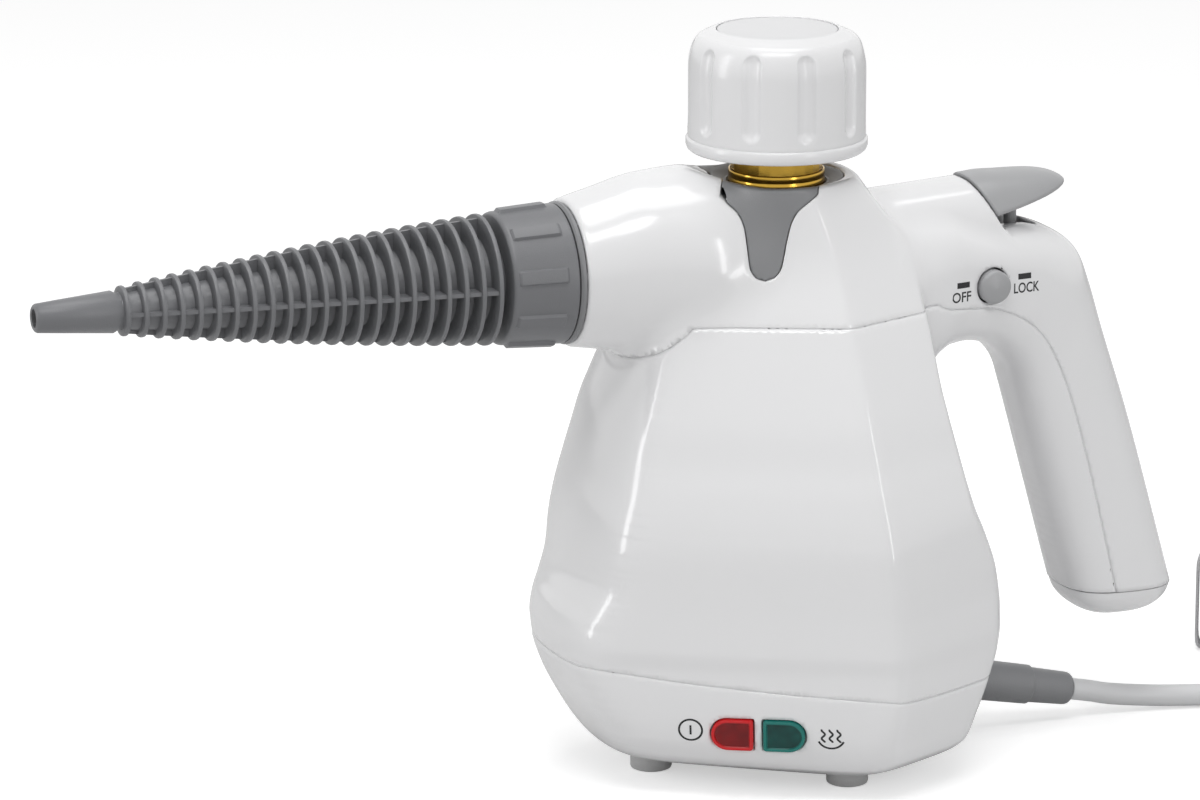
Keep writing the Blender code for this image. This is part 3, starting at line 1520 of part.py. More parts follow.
def cap_shell():
    """A domed cap: a straight wall with a lip, a bevel to the top, a recess for the disc and a skirt inside."""
    lip_top = CAP_BOTTOM + CAP_LIP
    recess = CAP_TOP - CAP_DISC_THICKNESS
    edge = CAP_DISC_RADIUS + CLEARANCE
    dome = []
    bevel = CAP_TOP - CAP_DISC_THICKNESS
    ring = CAP_DISC_RADIUS + CAP_LIP
    for i in range(CAP_DOME_POINTS + 1):
        angle = math.pi / 2 * (1 - i / CAP_DOME_POINTS)
        r = ring + (CAP_RADIUS - CAP_CHAMFER / 2 - ring) * math.cos(angle)
        z = CAP_STRAIGHT + (bevel - CAP_STRAIGHT) * math.sin(angle)
        dome.append((r, z))
    gasket_top = NECK_TOP + CLEARANCE + CAP_GASKET_HEIGHT
    profile = [
        (0, recess - CLEARANCE),
        (edge, recess - CLEARANCE),
        (edge, CAP_TOP),
        (edge + CAP_CHAMFER, CAP_TOP),
        *dome,
        (CAP_RADIUS - CAP_CHAMFER / 2, lip_top),
        (CAP_RADIUS, lip_top - CAP_CHAMFER / 2),
        (CAP_RADIUS, CAP_BOTTOM + CAP_CHAMFER),
        (CAP_RADIUS - CAP_CHAMFER, CAP_BOTTOM),
        (SKIRT_OUTER, CAP_BOTTOM),
        (SKIRT_OUTER, CAP_BOTTOM + SKIRT_DEPTH),
        (SKIRT_INNER, CAP_BOTTOM + SKIRT_DEPTH),
        (SKIRT_INNER, CAP_BOTTOM),
        (SLEEVE_RADIUS + CLEARANCE, CAP_BOTTOM),
        (SLEEVE_RADIUS + CLEARANCE, NECK_TOP + CLEARANCE),
        (CAP_GASKET_RADIUS + CLEARANCE * 2, NECK_TOP + CLEARANCE),
        (CAP_GASKET_RADIUS + CLEARANCE * 2, gasket_top + CLEARANCE),
        (CAP_WELL, gasket_top + CLEARANCE),
        (CAP_WELL, gasket_top + 2 * CLEARANCE + RELIEF_FLANGE_HEIGHT),
        (CAP_CORE, gasket_top + 2 * CLEARANCE + RELIEF_FLANGE_HEIGHT),
        (CAP_CORE, CAP_CORE_TOP),
        (0, CAP_CORE_TOP),
    ]
    cap = turned("cap_shell", profile, WHITE, segments=CAP_SEGMENTS)
    for i in range(FLUTE_COUNT):
        angle = math.radians(FLUTE_FIRST_DEGREES) + FULL_TURN * i / FLUTE_COUNT
        out = CAP_RADIUS - CAP_CHAMFER / 2 + FLUTE_RADIUS - FLUTE_DEPTH
        rows = []
        quarter = [math.pi / 2 * k / FLUTE_END_POINTS for k in range(FLUTE_END_POINTS + 1)]
        for down in quarter:
            rows.append((FLUTE_RADIUS * math.sin(down), FLUTE_TOP - FLUTE_RADIUS * (1 - math.cos(down))))
        for down in quarter:
            rows.append((FLUTE_RADIUS * math.cos(down), FLUTE_BOTTOM + FLUTE_RADIUS * (1 - math.sin(down))))
        flute = turned(
            f"flute_{i + 1}",
            rows,
            location=(out * math.cos(angle), out * math.sin(angle), 0),
            segments=FLUTE_SEGMENTS,
        )
        cut(cap, flute)
    return cap


def cap_parts():
    recess = CAP_TOP - CAP_DISC_THICKNESS
    turned(
        "cap_top_disc",
        [(0, CAP_TOP), (CAP_DISC_RADIUS, CAP_TOP), (CAP_DISC_RADIUS, recess), (0, recess)],
        WHITE,
        segments=CAP_SEGMENTS // 2,
    )
    turned(
        "cap_sleeve",
        [
            (SLEEVE_BORE, NECK_TOP),
            (SLEEVE_RADIUS, NECK_TOP),
            (SLEEVE_RADIUS, SLEEVE_BOTTOM),
            (SLEEVE_BORE, SLEEVE_BOTTOM),
        ],
        BRASS,
        segments=NECK_SEGMENTS,
        ring=True,
    )
    low = NECK_TOP + CLEARANCE
    high = low + CAP_GASKET_HEIGHT
    turned(
        "cap_gasket",
        [(CAP_GASKET_BORE, high), (CAP_GASKET_RADIUS, high), (CAP_GASKET_RADIUS, low), (CAP_GASKET_BORE, low)],
        BLACK_RUBBER,
        segments=20,
        ring=True,
    )
    seat = high + CLEARANCE
    flange = seat + RELIEF_FLANGE_HEIGHT
    turned(
        "relief_valve",
        [
            (0, flange + RELIEF_POST_HEIGHT),
            (RELIEF_POST, flange + RELIEF_POST_HEIGHT),
            (RELIEF_POST, flange),
            (RELIEF_FLANGE, flange),
            (RELIEF_FLANGE, seat),
            (RELIEF_STEM, seat),
            (RELIEF_STEM, low - RELIEF_STEM_LENGTH),
            (0, low - RELIEF_STEM_LENGTH),
        ],
        BRASS,
        segments=16,
    )
    helix(
        "relief_spring",
        (0, 0, flange + CLEARANCE),
        RELIEF_SPRING_HEIGHT,
        RELIEF_SPRING_DIAMETER,
        RELIEF_SPRING_WIRE,
    )


def helix(name, base, height, diameter, wire):
    """A compression spring standing on its base."""
    count = SPRING_TURNS * SPRING_TURN_POINTS
    radius = (diameter - wire) / 2
    rise = height - wire
    points = []
    for i in range(count + 1):
        angle = FULL_TURN * SPRING_TURNS * i / count
        z = wire / 2 + rise * i / count
        points.append((radius * math.cos(angle), radius * math.sin(angle), z))
    spring = tube(name, points, wire, STEEL, resolution=1)
    spring.location = base
    return spring


# Trigger, plunger and lock


def underside(x):
    """Height of the trigger's underside."""
    rake_foot = RAKE_TOP_X + (HOOD_TOP - TRIGGER_UNDER_FRONT) * math.tan(math.radians(RAKE_DEGREES))
    share = (x - rake_foot) / (TRIGGER_TIP - rake_foot)
    return TRIGGER_UNDER_FRONT + (TRIGGER_UNDER_TIP - TRIGGER_UNDER_FRONT) * share


def trigger_lever():
    """The thumb pad carries on the hood's line to a beak, and a tongue takes it to the pivot inside the hood."""
    length = TRIGGER_TIP - TRIGGER_FRONT
    rings = []
    for along, centre, crown, width in TRIGGER_SHARES:
        x = TRIGGER_FRONT + along * length
        z = HOOD_CENTRE + centre * TRIGGER_CROWN
        half = width * HOOD_WIDTH / 2
        rings.append(oval_ring((x, 0, z), (0, half, 0), (0, 0, crown * TRIGGER_CROWN), HOOD_POWER, 24))
    lever = loft("trigger_lever", rings, LIGHT_GREY)
    lower = [
        (TRIGGER_FRONT - OVERRUN, underside(TRIGGER_FRONT - OVERRUN)),
        (TRIGGER_TIP + OVERRUN, underside(TRIGGER_TIP + OVERRUN)),
        (TRIGGER_TIP + OVERRUN, HOOD_CENTRE - TRIGGER_CROWN - OVERRUN),
        (TRIGGER_FRONT - OVERRUN, HOOD_CENTRE - TRIGGER_CROWN - OVERRUN),
    ]
    cut(lever, plate("under_trigger", lower, HOOD_WIDTH * 2, matrix=from_side(0, 0, 0)))
    cut(lever, rake_block("before_trigger", JOINT_GAP, behind=False))
    eye = PIVOT_EYE / 2
    reach = RAKE_TOP_X + PIVOT_EYE
    tongue_outline = [
        (PIVOT_X - eye, PIVOT_Z),
        (PIVOT_X - eye * 0.5, PIVOT_Z + eye * 0.87),
        (RAKE_TOP_X, HOOD_TOP - WALL * 1.5),
        (reach, HOOD_TOP - WALL * 1.5),
        (reach, underside(reach) + WALL / 2),
        (RAKE_TOP_X + eye, underside(RAKE_TOP_X + eye) + CLEARANCE),
        (PIVOT_X + eye, PIVOT_Z + eye * 0.3),
        (PIVOT_X + eye * 0.87, PIVOT_Z - eye * 0.5),
        (PIVOT_X + eye * 0.3, PIVOT_Z - eye * 0.95),
        (PIVOT_X - eye * 0.3, PIVOT_Z - eye * 0.95),
        (PIVOT_X - eye * 0.87, PIVOT_Z - eye * 0.5),
    ]
    join(lever, plate("trigger_tongue", tongue_outline, TONGUE_WIDTH, matrix=from_side(0, 0, 0)))
    cut(lever, pivot_hole)
    pivot = Vector((PIVOT_X, 0, PIVOT_Z))
    lever.data.transform(Matrix.Translation(-pivot))
    lever.location = pivot
    boss_end = half_width_at(PIVOT_X, PIVOT_Z) - WALL - CLEARANCE
    pin_half = min(boss_end, HOOD_WIDTH / 2)
    rod(
        "trigger_pivot_pin",
        PIVOT_PIN / 2,
        (PIVOT_X, -pin_half, PIVOT_Z),
        (PIVOT_X, pin_half, PIVOT_Z),
        STEEL,
        segments=10,
    )


def plunger():
    radius = PLUNGER_DIAMETER / 2
    top = underside(VALVE_X - radius) - CLEARANCE
    collar_top = PLUNGER_COLLAR_Z + PLUNGER_COLLAR_HEIGHT
    turned(
        "steam_plunger",
        [
            (0, top),
            (radius, top),
            (radius, collar_top),
            (PLUNGER_COLLAR / 2, collar_top),
            (PLUNGER_COLLAR / 2, PLUNGER_COLLAR_Z),
            (radius, PLUNGER_COLLAR_Z),
            (radius, VALVE_TOP - PLUNGER_INSERTION),
            (0, VALVE_TOP - PLUNGER_INSERTION),
        ],
        LIGHT_GREY,
        (VALVE_X, 0, 0),
        segments=16,
    )
    height = PLUNGER_COLLAR_Z - VALVE_TOP - 2 * CLEARANCE
    helix("plunger_spring", (VALVE_X, 0, VALVE_TOP + CLEARANCE), height, SPRING_DIAMETER, SPRING_WIRE)


def lock_pin():
    radius = LOCK_DIAMETER / 2
    near = LOCK_PROUD_END
    flat = radius * 0.7
    turned(
        "lock_pin",
        [
            (0, LOCK_LENGTH),
            (flat, LOCK_LENGTH),
            (radius, LOCK_LENGTH - LOCK_DOME),
            (radius, LOCK_DOME),
            (flat, LOCK_DOME * 0.3),
            (0, 0),
        ],
        LIGHT_GREY,
        (LOCK_X, -near, LOCK_Z),
        TO_FAR_SIDE,
        segments=20,
    )


# Mains


def mains_parts():
    low = FLOOR_TOP + CLEARANCE
    length, width, height = TERMINAL_SIZE
    block(
        "terminal_block",
        (TERMINAL_X - length / 2, TERMINAL_Y - width / 2, low),
        (TERMINAL_X + length / 2, TERMINAL_Y + width / 2, low + height),
        BLACK_RUBBER,
    )
    length, width, height = CLAMP_SIZE
    clamp = block(
        "cord_clamp",
        (CLAMP_X - length / 2, -width / 2, low),
        (CLAMP_X + length / 2, width / 2, low + height),
        LIGHT_GREY,
    )
    middle = low + height / 2
    cut(clamp, rod("clamp_hole", CORD_RADIUS + CLEARANCE, (0, 0, middle), (HANDLE_REACH, 0, middle), segments=16))
    turned(
        "strain_relief",
        [
            (0, BOOT_LENGTH + BOOT_END_LENGTH),
            (BOOT_END_RADIUS - BOOT_TAPER, BOOT_LENGTH + BOOT_END_LENGTH),
            (BOOT_END_RADIUS, BOOT_LENGTH),
            (BOOT_RADIUS - BOOT_TAPER, BOOT_LENGTH),
            (BOOT_RADIUS, -BOOT_INSET),
            (BOOT_FLANGE_RADIUS, -BOOT_INSET),
            (BOOT_FLANGE_RADIUS, -BOOT_INSET - BOOT_FLANGE),
            (0, -BOOT_INSET - BOOT_FLANGE),
        ],
        LIGHT_GREY,
        (RELIEF_X, 0, RELIEF_Z),
        relief_turn(),
        segments=20,
    )


# Mains lead: its free run, its coil and its tail


def coil_points():
    """The coil's centre line: it spirals in and out, a layer up in each half turn where the spiral reverses."""
    turns = COIL_LAYERS * COIL_LAYER_TURNS
    count = round(turns * COIL_TURN_POINTS)
    span = COIL_STEP * COIL_LAYER_TURNS
    start = math.radians(COIL_START_DEGREES)
    points = []
    for i in range(count + 1):
        turn = i / COIL_TURN_POINTS
        layer = turn / COIL_LAYER_TURNS
        inward = abs((layer + 1) % 2 - 1)
        radius = COIL_INNER + span * abs(1 - inward)
        nearest = round(layer)
        from_change = (layer - nearest) * COIL_LAYER_TURNS
        if 0 < nearest < COIL_LAYERS:
            climb = min(max(from_change * 2 + 0.5, 0), 1)
            level = nearest - 1 + climb
        else:
            level = 0 if nearest == 0 else COIL_LAYERS - 1
        angle = start + FULL_TURN * turn
        z = CORD_RISE + CORD_RADIUS - FLOOR_DROP + level * COIL_STEP
        points.append((COIL_X + radius * math.cos(angle), COIL_Y + radius * math.sin(angle), z))
    return np.array(points)


def least_coil_gap(points):
    """The least space between the coil's turns, on points set along its centre line."""
    fine = smooth_route(points, CORD_RADIUS / 2)
    step = np.linalg.norm(fine[1] - fine[0])
    apart = round(CORD_DIAMETER * 2.5 / step)
    least = HANDLE_REACH
    for i in range(0, len(fine) - apart):
        away = np.linalg.norm(fine[i + apart :] - fine[i], axis=1)
        least = min(least, float(away.min()))
    return least - CORD_DIAMETER


def relief_end():
    """The strain relief's far end and its direction."""
    droop = math.radians(RELIEF_DROOP)
    away = Vector((math.cos(droop), 0, -math.sin(droop)))
    return Vector((RELIEF_X, 0, RELIEF_Z)) + away * (BOOT_LENGTH + BOOT_END_LENGTH), away


def lead_route(join_at, heading):
    """The free run: straight out of the relief, down to the floor and along it to the coil's first turn."""
    end, away = relief_end()
    start = end + away * CLEARANCE
    floor = CORD_RADIUS + FLOOR_GAP - FLOOR_DROP
    run = heading * CORD_DIAMETER
    return [
        start,
        start + away * CORD_DIAMETER,
        (*LEAD_FIRST, floor + LEAD_FIRST_RISE),
        (*LEAD_SECOND, floor),
        (*LEAD_THIRD, floor),
        join_at - run,
        join_at,
    ]


def tail_route(leave_at, heading):
    """The cord from the coil's last turn, down round its outside to the plug beside it."""
    start_turn = math.radians(COIL_START_DEGREES)
    top = leave_at.z
    level = PLUG_HEIGHT / 2 + FLOOR_GAP - FLOOR_DROP
    outer = COIL_INNER + COIL_STEP * COIL_LAYER_TURNS
    points = [leave_at, leave_at + heading * CORD_DIAMETER]
    for turn, share in zip(TAIL_TURNS, TAIL_OUT_SHARES):
        angle = start_turn + FULL_TURN * turn
        radius = outer + TAIL_REACH * share
        z = top + (level - top) * share
        points.append(Vector((COIL_X + radius * math.cos(angle), COIL_Y + radius * math.sin(angle), z)))
    last = points[-1]
    points[-1] = Vector((last.x, last.y, level))
    points.append(points[-1] + Vector((0, CORD_DIAMETER, 0)))
    return points


def cord_tie():
    """A strap round the whole section of the coil."""
    low = CORD_RISE - CLEARANCE - FLOOR_DROP
    high = low + CORD_DIAMETER + COIL_STEP * (COIL_LAYERS - 1) + 2 * CLEARANCE
    inner = COIL_INNER - CORD_RADIUS - RUNNING_GAP
    outer = COIL_INNER + COIL_STEP * COIL_LAYER_TURNS + CORD_RADIUS + CLEARANCE
    angle = math.radians(TIE_DEGREES)
    out = Vector((math.cos(angle), math.sin(angle), 0))
    along = Vector((-math.sin(angle), math.cos(angle), 0))
    middle = Vector((COIL_X, COIL_Y, (low + high) / 2)) + out * (inner + outer) / 2

    def strap(name, grow, width, finish=None):
        across = out * ((outer - inner) / 2 + grow)
        up = Vector((0, 0, (high - low) / 2 + grow))
        rings = [oval_ring(middle + along * width * side, across, up, TIE_POWER, TIE_SIDES) for side in (-0.5, 0.5)]
        return loft(name, rings, finish)

    tie = strap("cord_tie", TIE_THICKNESS, TIE_WIDTH, BLACK_RUBBER)
    cut(tie, strap("tie_room", 0, TIE_WIDTH * 2))


def plug(end):
    """A moulded plug with two blades and an earth pin, which lies beside the coil and points to +Y."""
    length = PLUG_NECK_LENGTH + PLUG_LENGTH
    stations = [(share * PLUG_NECK_LENGTH, tall, wide) for share, tall, wide in PLUG_NECK_SHARES]
    stations += [(PLUG_NECK_LENGTH + share * PLUG_LENGTH, tall, wide) for share, tall, wide in PLUG_BODY_SHARES]
    rings = []
    for along, tall, wide in stations:
        centre = end + Vector((0, CLEARANCE + along, 0))
        across = (wide * PLUG_WIDTH / 2, 0, 0)
        rings.append(oval_ring(centre, across, (0, 0, tall * PLUG_HEIGHT / 2), PLUG_POWER, PLUG_SIDES))
    loft("plug_body", rings, CORD_WHITE)
    face = end + Vector((0, length + 2 * CLEARANCE, 0))
    reach, thick, wide = BLADE_SIZE
    for i, hand in enumerate((-1, 1)):
        middle = face + Vector((hand * BLADE_SPACING / 2, 0, BLADE_LIFT))
        block(
            f"plug_blade_{i + 1}",
            (middle.x - thick / 2, middle.y, middle.z - wide / 2),
            (middle.x + thick / 2, middle.y + reach, middle.z + wide / 2),
            BRASS,
        )
    low = face - Vector((0, 0, EARTH_DROP))
    rod("plug_earth_pin", EARTH_DIAMETER / 2, low, low + Vector((0, EARTH_LENGTH, 0)), BRASS, segments=12)


def cord_run(name, route):
    """A tube along a smooth curve through a route, with its ends straight for one diameter."""
    curve = smooth_route(route, LEAD_STEP)
    points = [curve[0], route[1], *curve[1:-1], route[-2], curve[-1]]
    tube(name, points, CORD_DIAMETER, CORD_WHITE, resolution=2)
    return points


def run_length(points):
    line = np.array(points, float)
    return float(np.linalg.norm(np.diff(line, axis=0), axis=1).sum())


def mains_lead():
    turns = [Vector(point) for point in coil_points()]
    before = (turns[1] - turns[0]).normalized()
    after = (turns[-1] - turns[-2]).normalized()
    start = turns[0] - before * CORD_DIAMETER
    end = turns[-1] + after * CORD_DIAMETER
    print(f"cord_coil: least gap {least_coil_gap(turns) / mm:.2f} mm")
    tube("cord_coil", [start, *turns, end], CORD_DIAMETER, CORD_WHITE, resolution=1)
    lead = cord_run("cord_lead", lead_route(start - before * CLEARANCE, before))
    tail = cord_run("cord_tail", tail_route(end + after * CLEARANCE, after))
    cord_tie()
    plug(Vector(tail[-1]))
    print(f"mains lead: {run_length(lead) + run_length([start, *turns, end]) + run_length(tail):.3f} m")


top_cover()
body_shell()
base_shell()
handle_end_cap()
neck_trim()
feet()
lamp_board()
boiler()
boiler_lid()
filler_neck()
heater()
thermal_parts()
boiler_bracket()
steam_valve()
pipes()
outlet()
nozzle_cone()
nozzle_collar()
nozzle_inner()
cap_shell()
cap_parts()
trigger_lever()
plunger()
lock_pin()
mains_parts()
mains_lead()
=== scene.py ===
"""The steam cleaner's looks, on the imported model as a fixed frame.

Shapes are worked out in millimetres from the axis of the filler neck, as the model's source lays them out.
`world` turns them into metres in the model's frame.
"""

import json
import math

import bpy
import numpy as np
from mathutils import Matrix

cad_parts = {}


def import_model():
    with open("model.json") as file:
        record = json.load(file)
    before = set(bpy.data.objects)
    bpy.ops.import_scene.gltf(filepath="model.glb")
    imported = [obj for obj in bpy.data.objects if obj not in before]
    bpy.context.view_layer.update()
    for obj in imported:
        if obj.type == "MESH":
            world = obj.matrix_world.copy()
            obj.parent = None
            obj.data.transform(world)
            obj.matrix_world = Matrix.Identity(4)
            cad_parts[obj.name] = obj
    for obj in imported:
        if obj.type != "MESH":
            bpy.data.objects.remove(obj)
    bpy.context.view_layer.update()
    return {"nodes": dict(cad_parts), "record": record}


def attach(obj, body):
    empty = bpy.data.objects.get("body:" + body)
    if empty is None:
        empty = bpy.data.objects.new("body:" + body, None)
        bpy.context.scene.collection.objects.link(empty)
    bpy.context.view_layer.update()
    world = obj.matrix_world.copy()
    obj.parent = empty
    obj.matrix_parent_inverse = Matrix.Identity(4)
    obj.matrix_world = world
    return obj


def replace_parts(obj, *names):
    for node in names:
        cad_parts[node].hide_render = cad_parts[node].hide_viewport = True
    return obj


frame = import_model()

MM = 0.001
NECK_AXIS = np.array([51.95, 0.0, 2.3])
TURN = 2 * math.pi


def world(points):
    """Millimetres from the neck's axis into metres in the model's frame."""
    return (np.asarray(points, float) + NECK_AXIS) * MM


# Places that several pieces share, in millimetres from the neck's axis

NOZZLE_Z = 158.5
SHOULDER = 184.3
RAKE = math.radians(29)
INSERT_RADIUS = 20.6
LOCK_AT = (64.0, 0, 147.5)
ROD_X = 79.0
GRIP_END = 43.4
DROOP = math.radians(11.5)
RELIEF_AT = (57.0, 0, 16.8)
RELIEF_WAY = (math.cos(DROOP), 0.0, -math.sin(DROOP))

# The lamps' facet: its normal, the way along it, the way up it, and each lens's place along it and round side
LAMP_TURN = math.radians(28.17)
LAMP_LEAN = math.atan2(0.44, 2.5)
LAMP_FLAT = np.array([-math.sin(LAMP_TURN), -math.cos(LAMP_TURN), 0.0])
LAMP_ALONG = np.array([math.cos(LAMP_TURN), -math.sin(LAMP_TURN), 0.0])
LAMP_OUT = LAMP_FLAT * math.cos(LAMP_LEAN) - np.array([0, 0, math.sin(LAMP_LEAN)])
LAMP_UP = np.cross(LAMP_OUT, LAMP_ALONG)
LAMP_CENTRE = LAMP_FLAT * 55.1 + np.array([0, 0, 20.3])
LAMP_PLACES = {"red": (-7.0, -1), "green": (9.0, 1)}


# Materials: a socket that works as a number in Python


class Value:
    """A shader socket with arithmetic: each operator adds the Math node of its name."""

    def __init__(self, maker, socket):
        self.maker = maker
        self.socket = socket

    def _with(self, operation, first, second):
        return self.maker.node("ShaderNodeMath", {"operation": operation}, {0: first, 1: second})

    def __add__(self, other):
        return self._with("ADD", self, other)

    def __sub__(self, other):
        return self._with("SUBTRACT", self, other)

    def __mul__(self, other):
        return self._with("MULTIPLY", self, other)

    def __pow__(self, other):
        return self._with("POWER", self, other)


class Finish:
    """One material or world: `node` adds any node, its settings first, then its sockets' values or links."""

    def __init__(self, holder):
        holder.use_nodes = True
        self.holder = holder
        self.tree = holder.node_tree
        self.tree.nodes.clear()

    def node(self, kind, settings=None, sockets=None, output=0):
        new = self.tree.nodes.new(kind)
        for key, value in (settings or {}).items():
            setattr(new, key, value)
        for key, value in (sockets or {}).items():
            if isinstance(value, Value):
                self.tree.links.new(value.socket, new.inputs[key])
            else:
                new.inputs[key].default_value = value
        return Value(self, new.outputs[output]) if len(new.outputs) else None

    def place(self):
        """The point on the piece, in metres."""
        return self.node("ShaderNodeTexCoord", output=3)

    def noise(self, scale, detail, stretch=None):
        """Noise of so many spots to the metre, drawn out by a stretch."""
        at = self.place()
        if stretch:
            at = self.node("ShaderNodeMapping", {}, {"Vector": at, "Scale": stretch})
        return self.node("ShaderNodeTexNoise", {}, {"Vector": at, "Scale": scale, "Detail": detail})

    def greater(self, first, second):
        return self.node("ShaderNodeMath", {"operation": "MAXIMUM"}, {0: first, 1: second})

    def spread(self, value, low, high):
        """A 0 to 1 value brought to a range."""
        return value * (high - low) + low

    def blend(self, mask, first, second):
        """A colour between two, by a mask."""
        return self.node("ShaderNodeMix", {"data_type": "RGBA"}, {0: mask, 6: first, 7: second}, output=2)

    def bump(self, height, distance):
        return self.node("ShaderNodeBump", {}, {"Height": height, "Distance": distance, "Strength": 1.0})

    def shader(self, **sockets):
        """The surface, from the Principled node's sockets by name."""
        named = {key.replace("_", " ").title().replace("Ior", "IOR"): value for key, value in sockets.items()}
        surface = self.node("ShaderNodeBsdfPrincipled", {}, named)
        self.node("ShaderNodeOutputMaterial", {}, {0: surface})
        return self.holder


def finish_named(name):
    return Finish(bpy.data.materials.new(name))


def colour(r, g, b):
    return (r, g, b, 1.0)


def moulded(name, base, rough, fine=0.00004, coat=0.0, speckle=0.03):
    """Moulded plastic: faint cloudiness in colour and gloss, and a very fine texture."""
    f = finish_named(name)
    cloud = f.noise(38.0, 3.0)
    grain = f.noise(2600.0, 1.0)
    tone = f.blend(cloud, colour(*base), colour(*(c * (1 - speckle) for c in base)))
    gloss = f.spread(cloud, rough * 0.85, rough * 1.2)
    return f.shader(
        base_color=tone, roughness=gloss, normal=f.bump(grain, fine), coat_weight=coat, coat_roughness=0.08
    )


def metal(name, base, rough, grain_scale, stretch=None, fine=0.00002, patina=0.12):
    """Metal: machining marks in the gloss, and darker where handling has dulled it."""
    f = finish_named(name)
    marks = f.noise(grain_scale, 2.0, stretch=stretch)
    cloud = f.noise(60.0, 3.0)
    tone = f.blend(cloud, colour(*base), colour(*(c * (1 - patina) for c in base)))
    gloss = f.spread(marks, rough * 0.75, rough * 1.35)
    return f.shader(base_color=tone, roughness=gloss, metallic=1.0, normal=f.bump(marks, fine))


def clear_glass(name, base, deep, place, hand):
    """Clear coloured plastic over a moulded prism pattern, with a painted highlight: its colour is painted
    brighter where the rim stands up round the sunken D.

    From u along the lens and v up it, in mm, the D's edge is the farther of a half disc and a straight side:
    side = max(|(max(u - 1.3, 0), v)| - 4.1, -(u + 5.3)).
    """
    f = finish_named(name)
    at = f.place()
    centre = world(LAMP_CENTRE)
    sides = {0: at, 1: LAMP_ALONG.tolist()}
    u = f.node("ShaderNodeVectorMath", {"operation": "DOT_PRODUCT"}, sides, output=1)
    u = ((u - float(LAMP_ALONG @ centre)) * (1 / MM) - place) * hand
    v = (f.node("ShaderNodeSeparateXYZ", {}, {0: at}, output=2) - float(centre[2])) * (1 / MM)
    past = f.greater(u - 1.3, 0.0)
    side = f.greater((past * past + v * v) ** 0.5 - 4.1, (u + 5.3) * -1.0)
    # Painted highlight: a mask, 0 on the sunken D and 1 on the raised rim round it
    rim = f.node("ShaderNodeMapRange", {}, {0: side, 1: -0.35, 2: 0.25, 3: 0.0, 4: 1.0})
    cell_look = {"Vector": at, "Scale": 260.0, "Smoothness": 0.6}
    cells = f.node("ShaderNodeTexVoronoi", {"feature": "SMOOTH_F1"}, cell_look)
    cloud = f.noise(240.0, 2.0)
    tone = f.blend(cells * 0.6 + cloud * 0.4, colour(*base), colour(*deep))
    # Painted highlight: on the rim, the lens's own colour is painted about twice as bright
    tone = f.blend(rim, tone, colour(*(2.1 * c + 0.01 for c in base)))
    return f.shader(base_color=tone, roughness=0.12, ior=1.3, normal=f.bump(cells, 0.0002), coat_weight=0.35)


WHITE = moulded("white_shell", (0.86, 0.86, 0.868), 0.17, fine=0.000010, coat=0.35, speckle=0.012)
CAP_WHITE = moulded("white_cap", (0.86, 0.86, 0.868), 0.24, fine=0.00002, coat=0.2, speckle=0.012)
DISC_WHITE = moulded("cap_disc_white", (0.74, 0.74, 0.75), 0.30, fine=0.00003, coat=0.1, speckle=0.02)
GREY = moulded("grey_nozzle", (0.185, 0.188, 0.198), 0.36, fine=0.00005, speckle=0.08)
TRIM_GREY = moulded("grey_trim", (0.235, 0.238, 0.246), 0.38, fine=0.00005, speckle=0.06)
LIGHT_GREY = moulded("light_grey", (0.40, 0.403, 0.412), 0.34, fine=0.00004, speckle=0.05)
BOOT_GREY = moulded("grey_boot", (0.24, 0.243, 0.252), 0.42, fine=0.00006, speckle=0.05)
SHEATH = moulded("cord_sheath", (0.70, 0.703, 0.712), 0.36, fine=0.00005, speckle=0.03)
FOOT = moulded("foot_pad", (0.60, 0.60, 0.60), 0.62, fine=0.00010, speckle=0.06)
SEAL = moulded("seal_rubber", (0.016, 0.016, 0.018), 0.62, fine=0.00010, speckle=0.20)
INK = moulded("mark_ink", (0.012, 0.012, 0.014), 0.42, fine=0.00002, speckle=0.10)
DARK = moulded("dark_inside", (0.020, 0.020, 0.022), 0.60, fine=0.00006, speckle=0.15)
BRASS = metal("brass", (0.60, 0.37, 0.06), 0.16, 700.0, (1, 1, 12))
ALUMINIUM = metal("aluminium", (0.62, 0.63, 0.64), 0.38, 500.0)
STEEL = metal("steel", (0.56, 0.56, 0.58), 0.28, 900.0, (1, 1, 10))
RED = clear_glass("red_clear", (0.30, 0.001, 0.003), (0.10, 0.0, 0.001), *LAMP_PLACES["red"])
GREEN = clear_glass("green_clear", (0.0, 0.085, 0.072), (0.0, 0.022, 0.020), *LAMP_PLACES["green"])


def strap_weave():
    """Loops of a hook-and-loop strap: a wave and fuzz."""
    f = finish_named("strap_weave")
    wave = f.node("ShaderNodeTexWave", {}, {"Vector": f.place(), "Scale": 900.0, "Distortion": 2.0})
    fuzz = f.noise(1800.0, 2.0)
    tone = f.blend(fuzz, colour(0.60, 0.60, 0.61), colour(0.70, 0.70, 0.71))
    return f.shader(base_color=tone, roughness=0.86, normal=f.bump(wave + fuzz, 0.0001))


def laminate():
    """A lacquered circuit board with tinned tracks."""
    f = finish_named("board_laminate")
    look = {"Vector": f.place(), "Scale": 220.0, "Mortar Size": 0.05}
    tracks = f.node("ShaderNodeTexBrick", {}, look, output=1)
    tone = f.blend(tracks, colour(0.012, 0.10, 0.035), colour(0.30, 0.25, 0.12))
    return f.shader(base_color=tone, roughness=0.34, normal=f.bump(tracks, 0.00003))


STRAP = strap_weave()
BOARD = laminate()


# Meshes


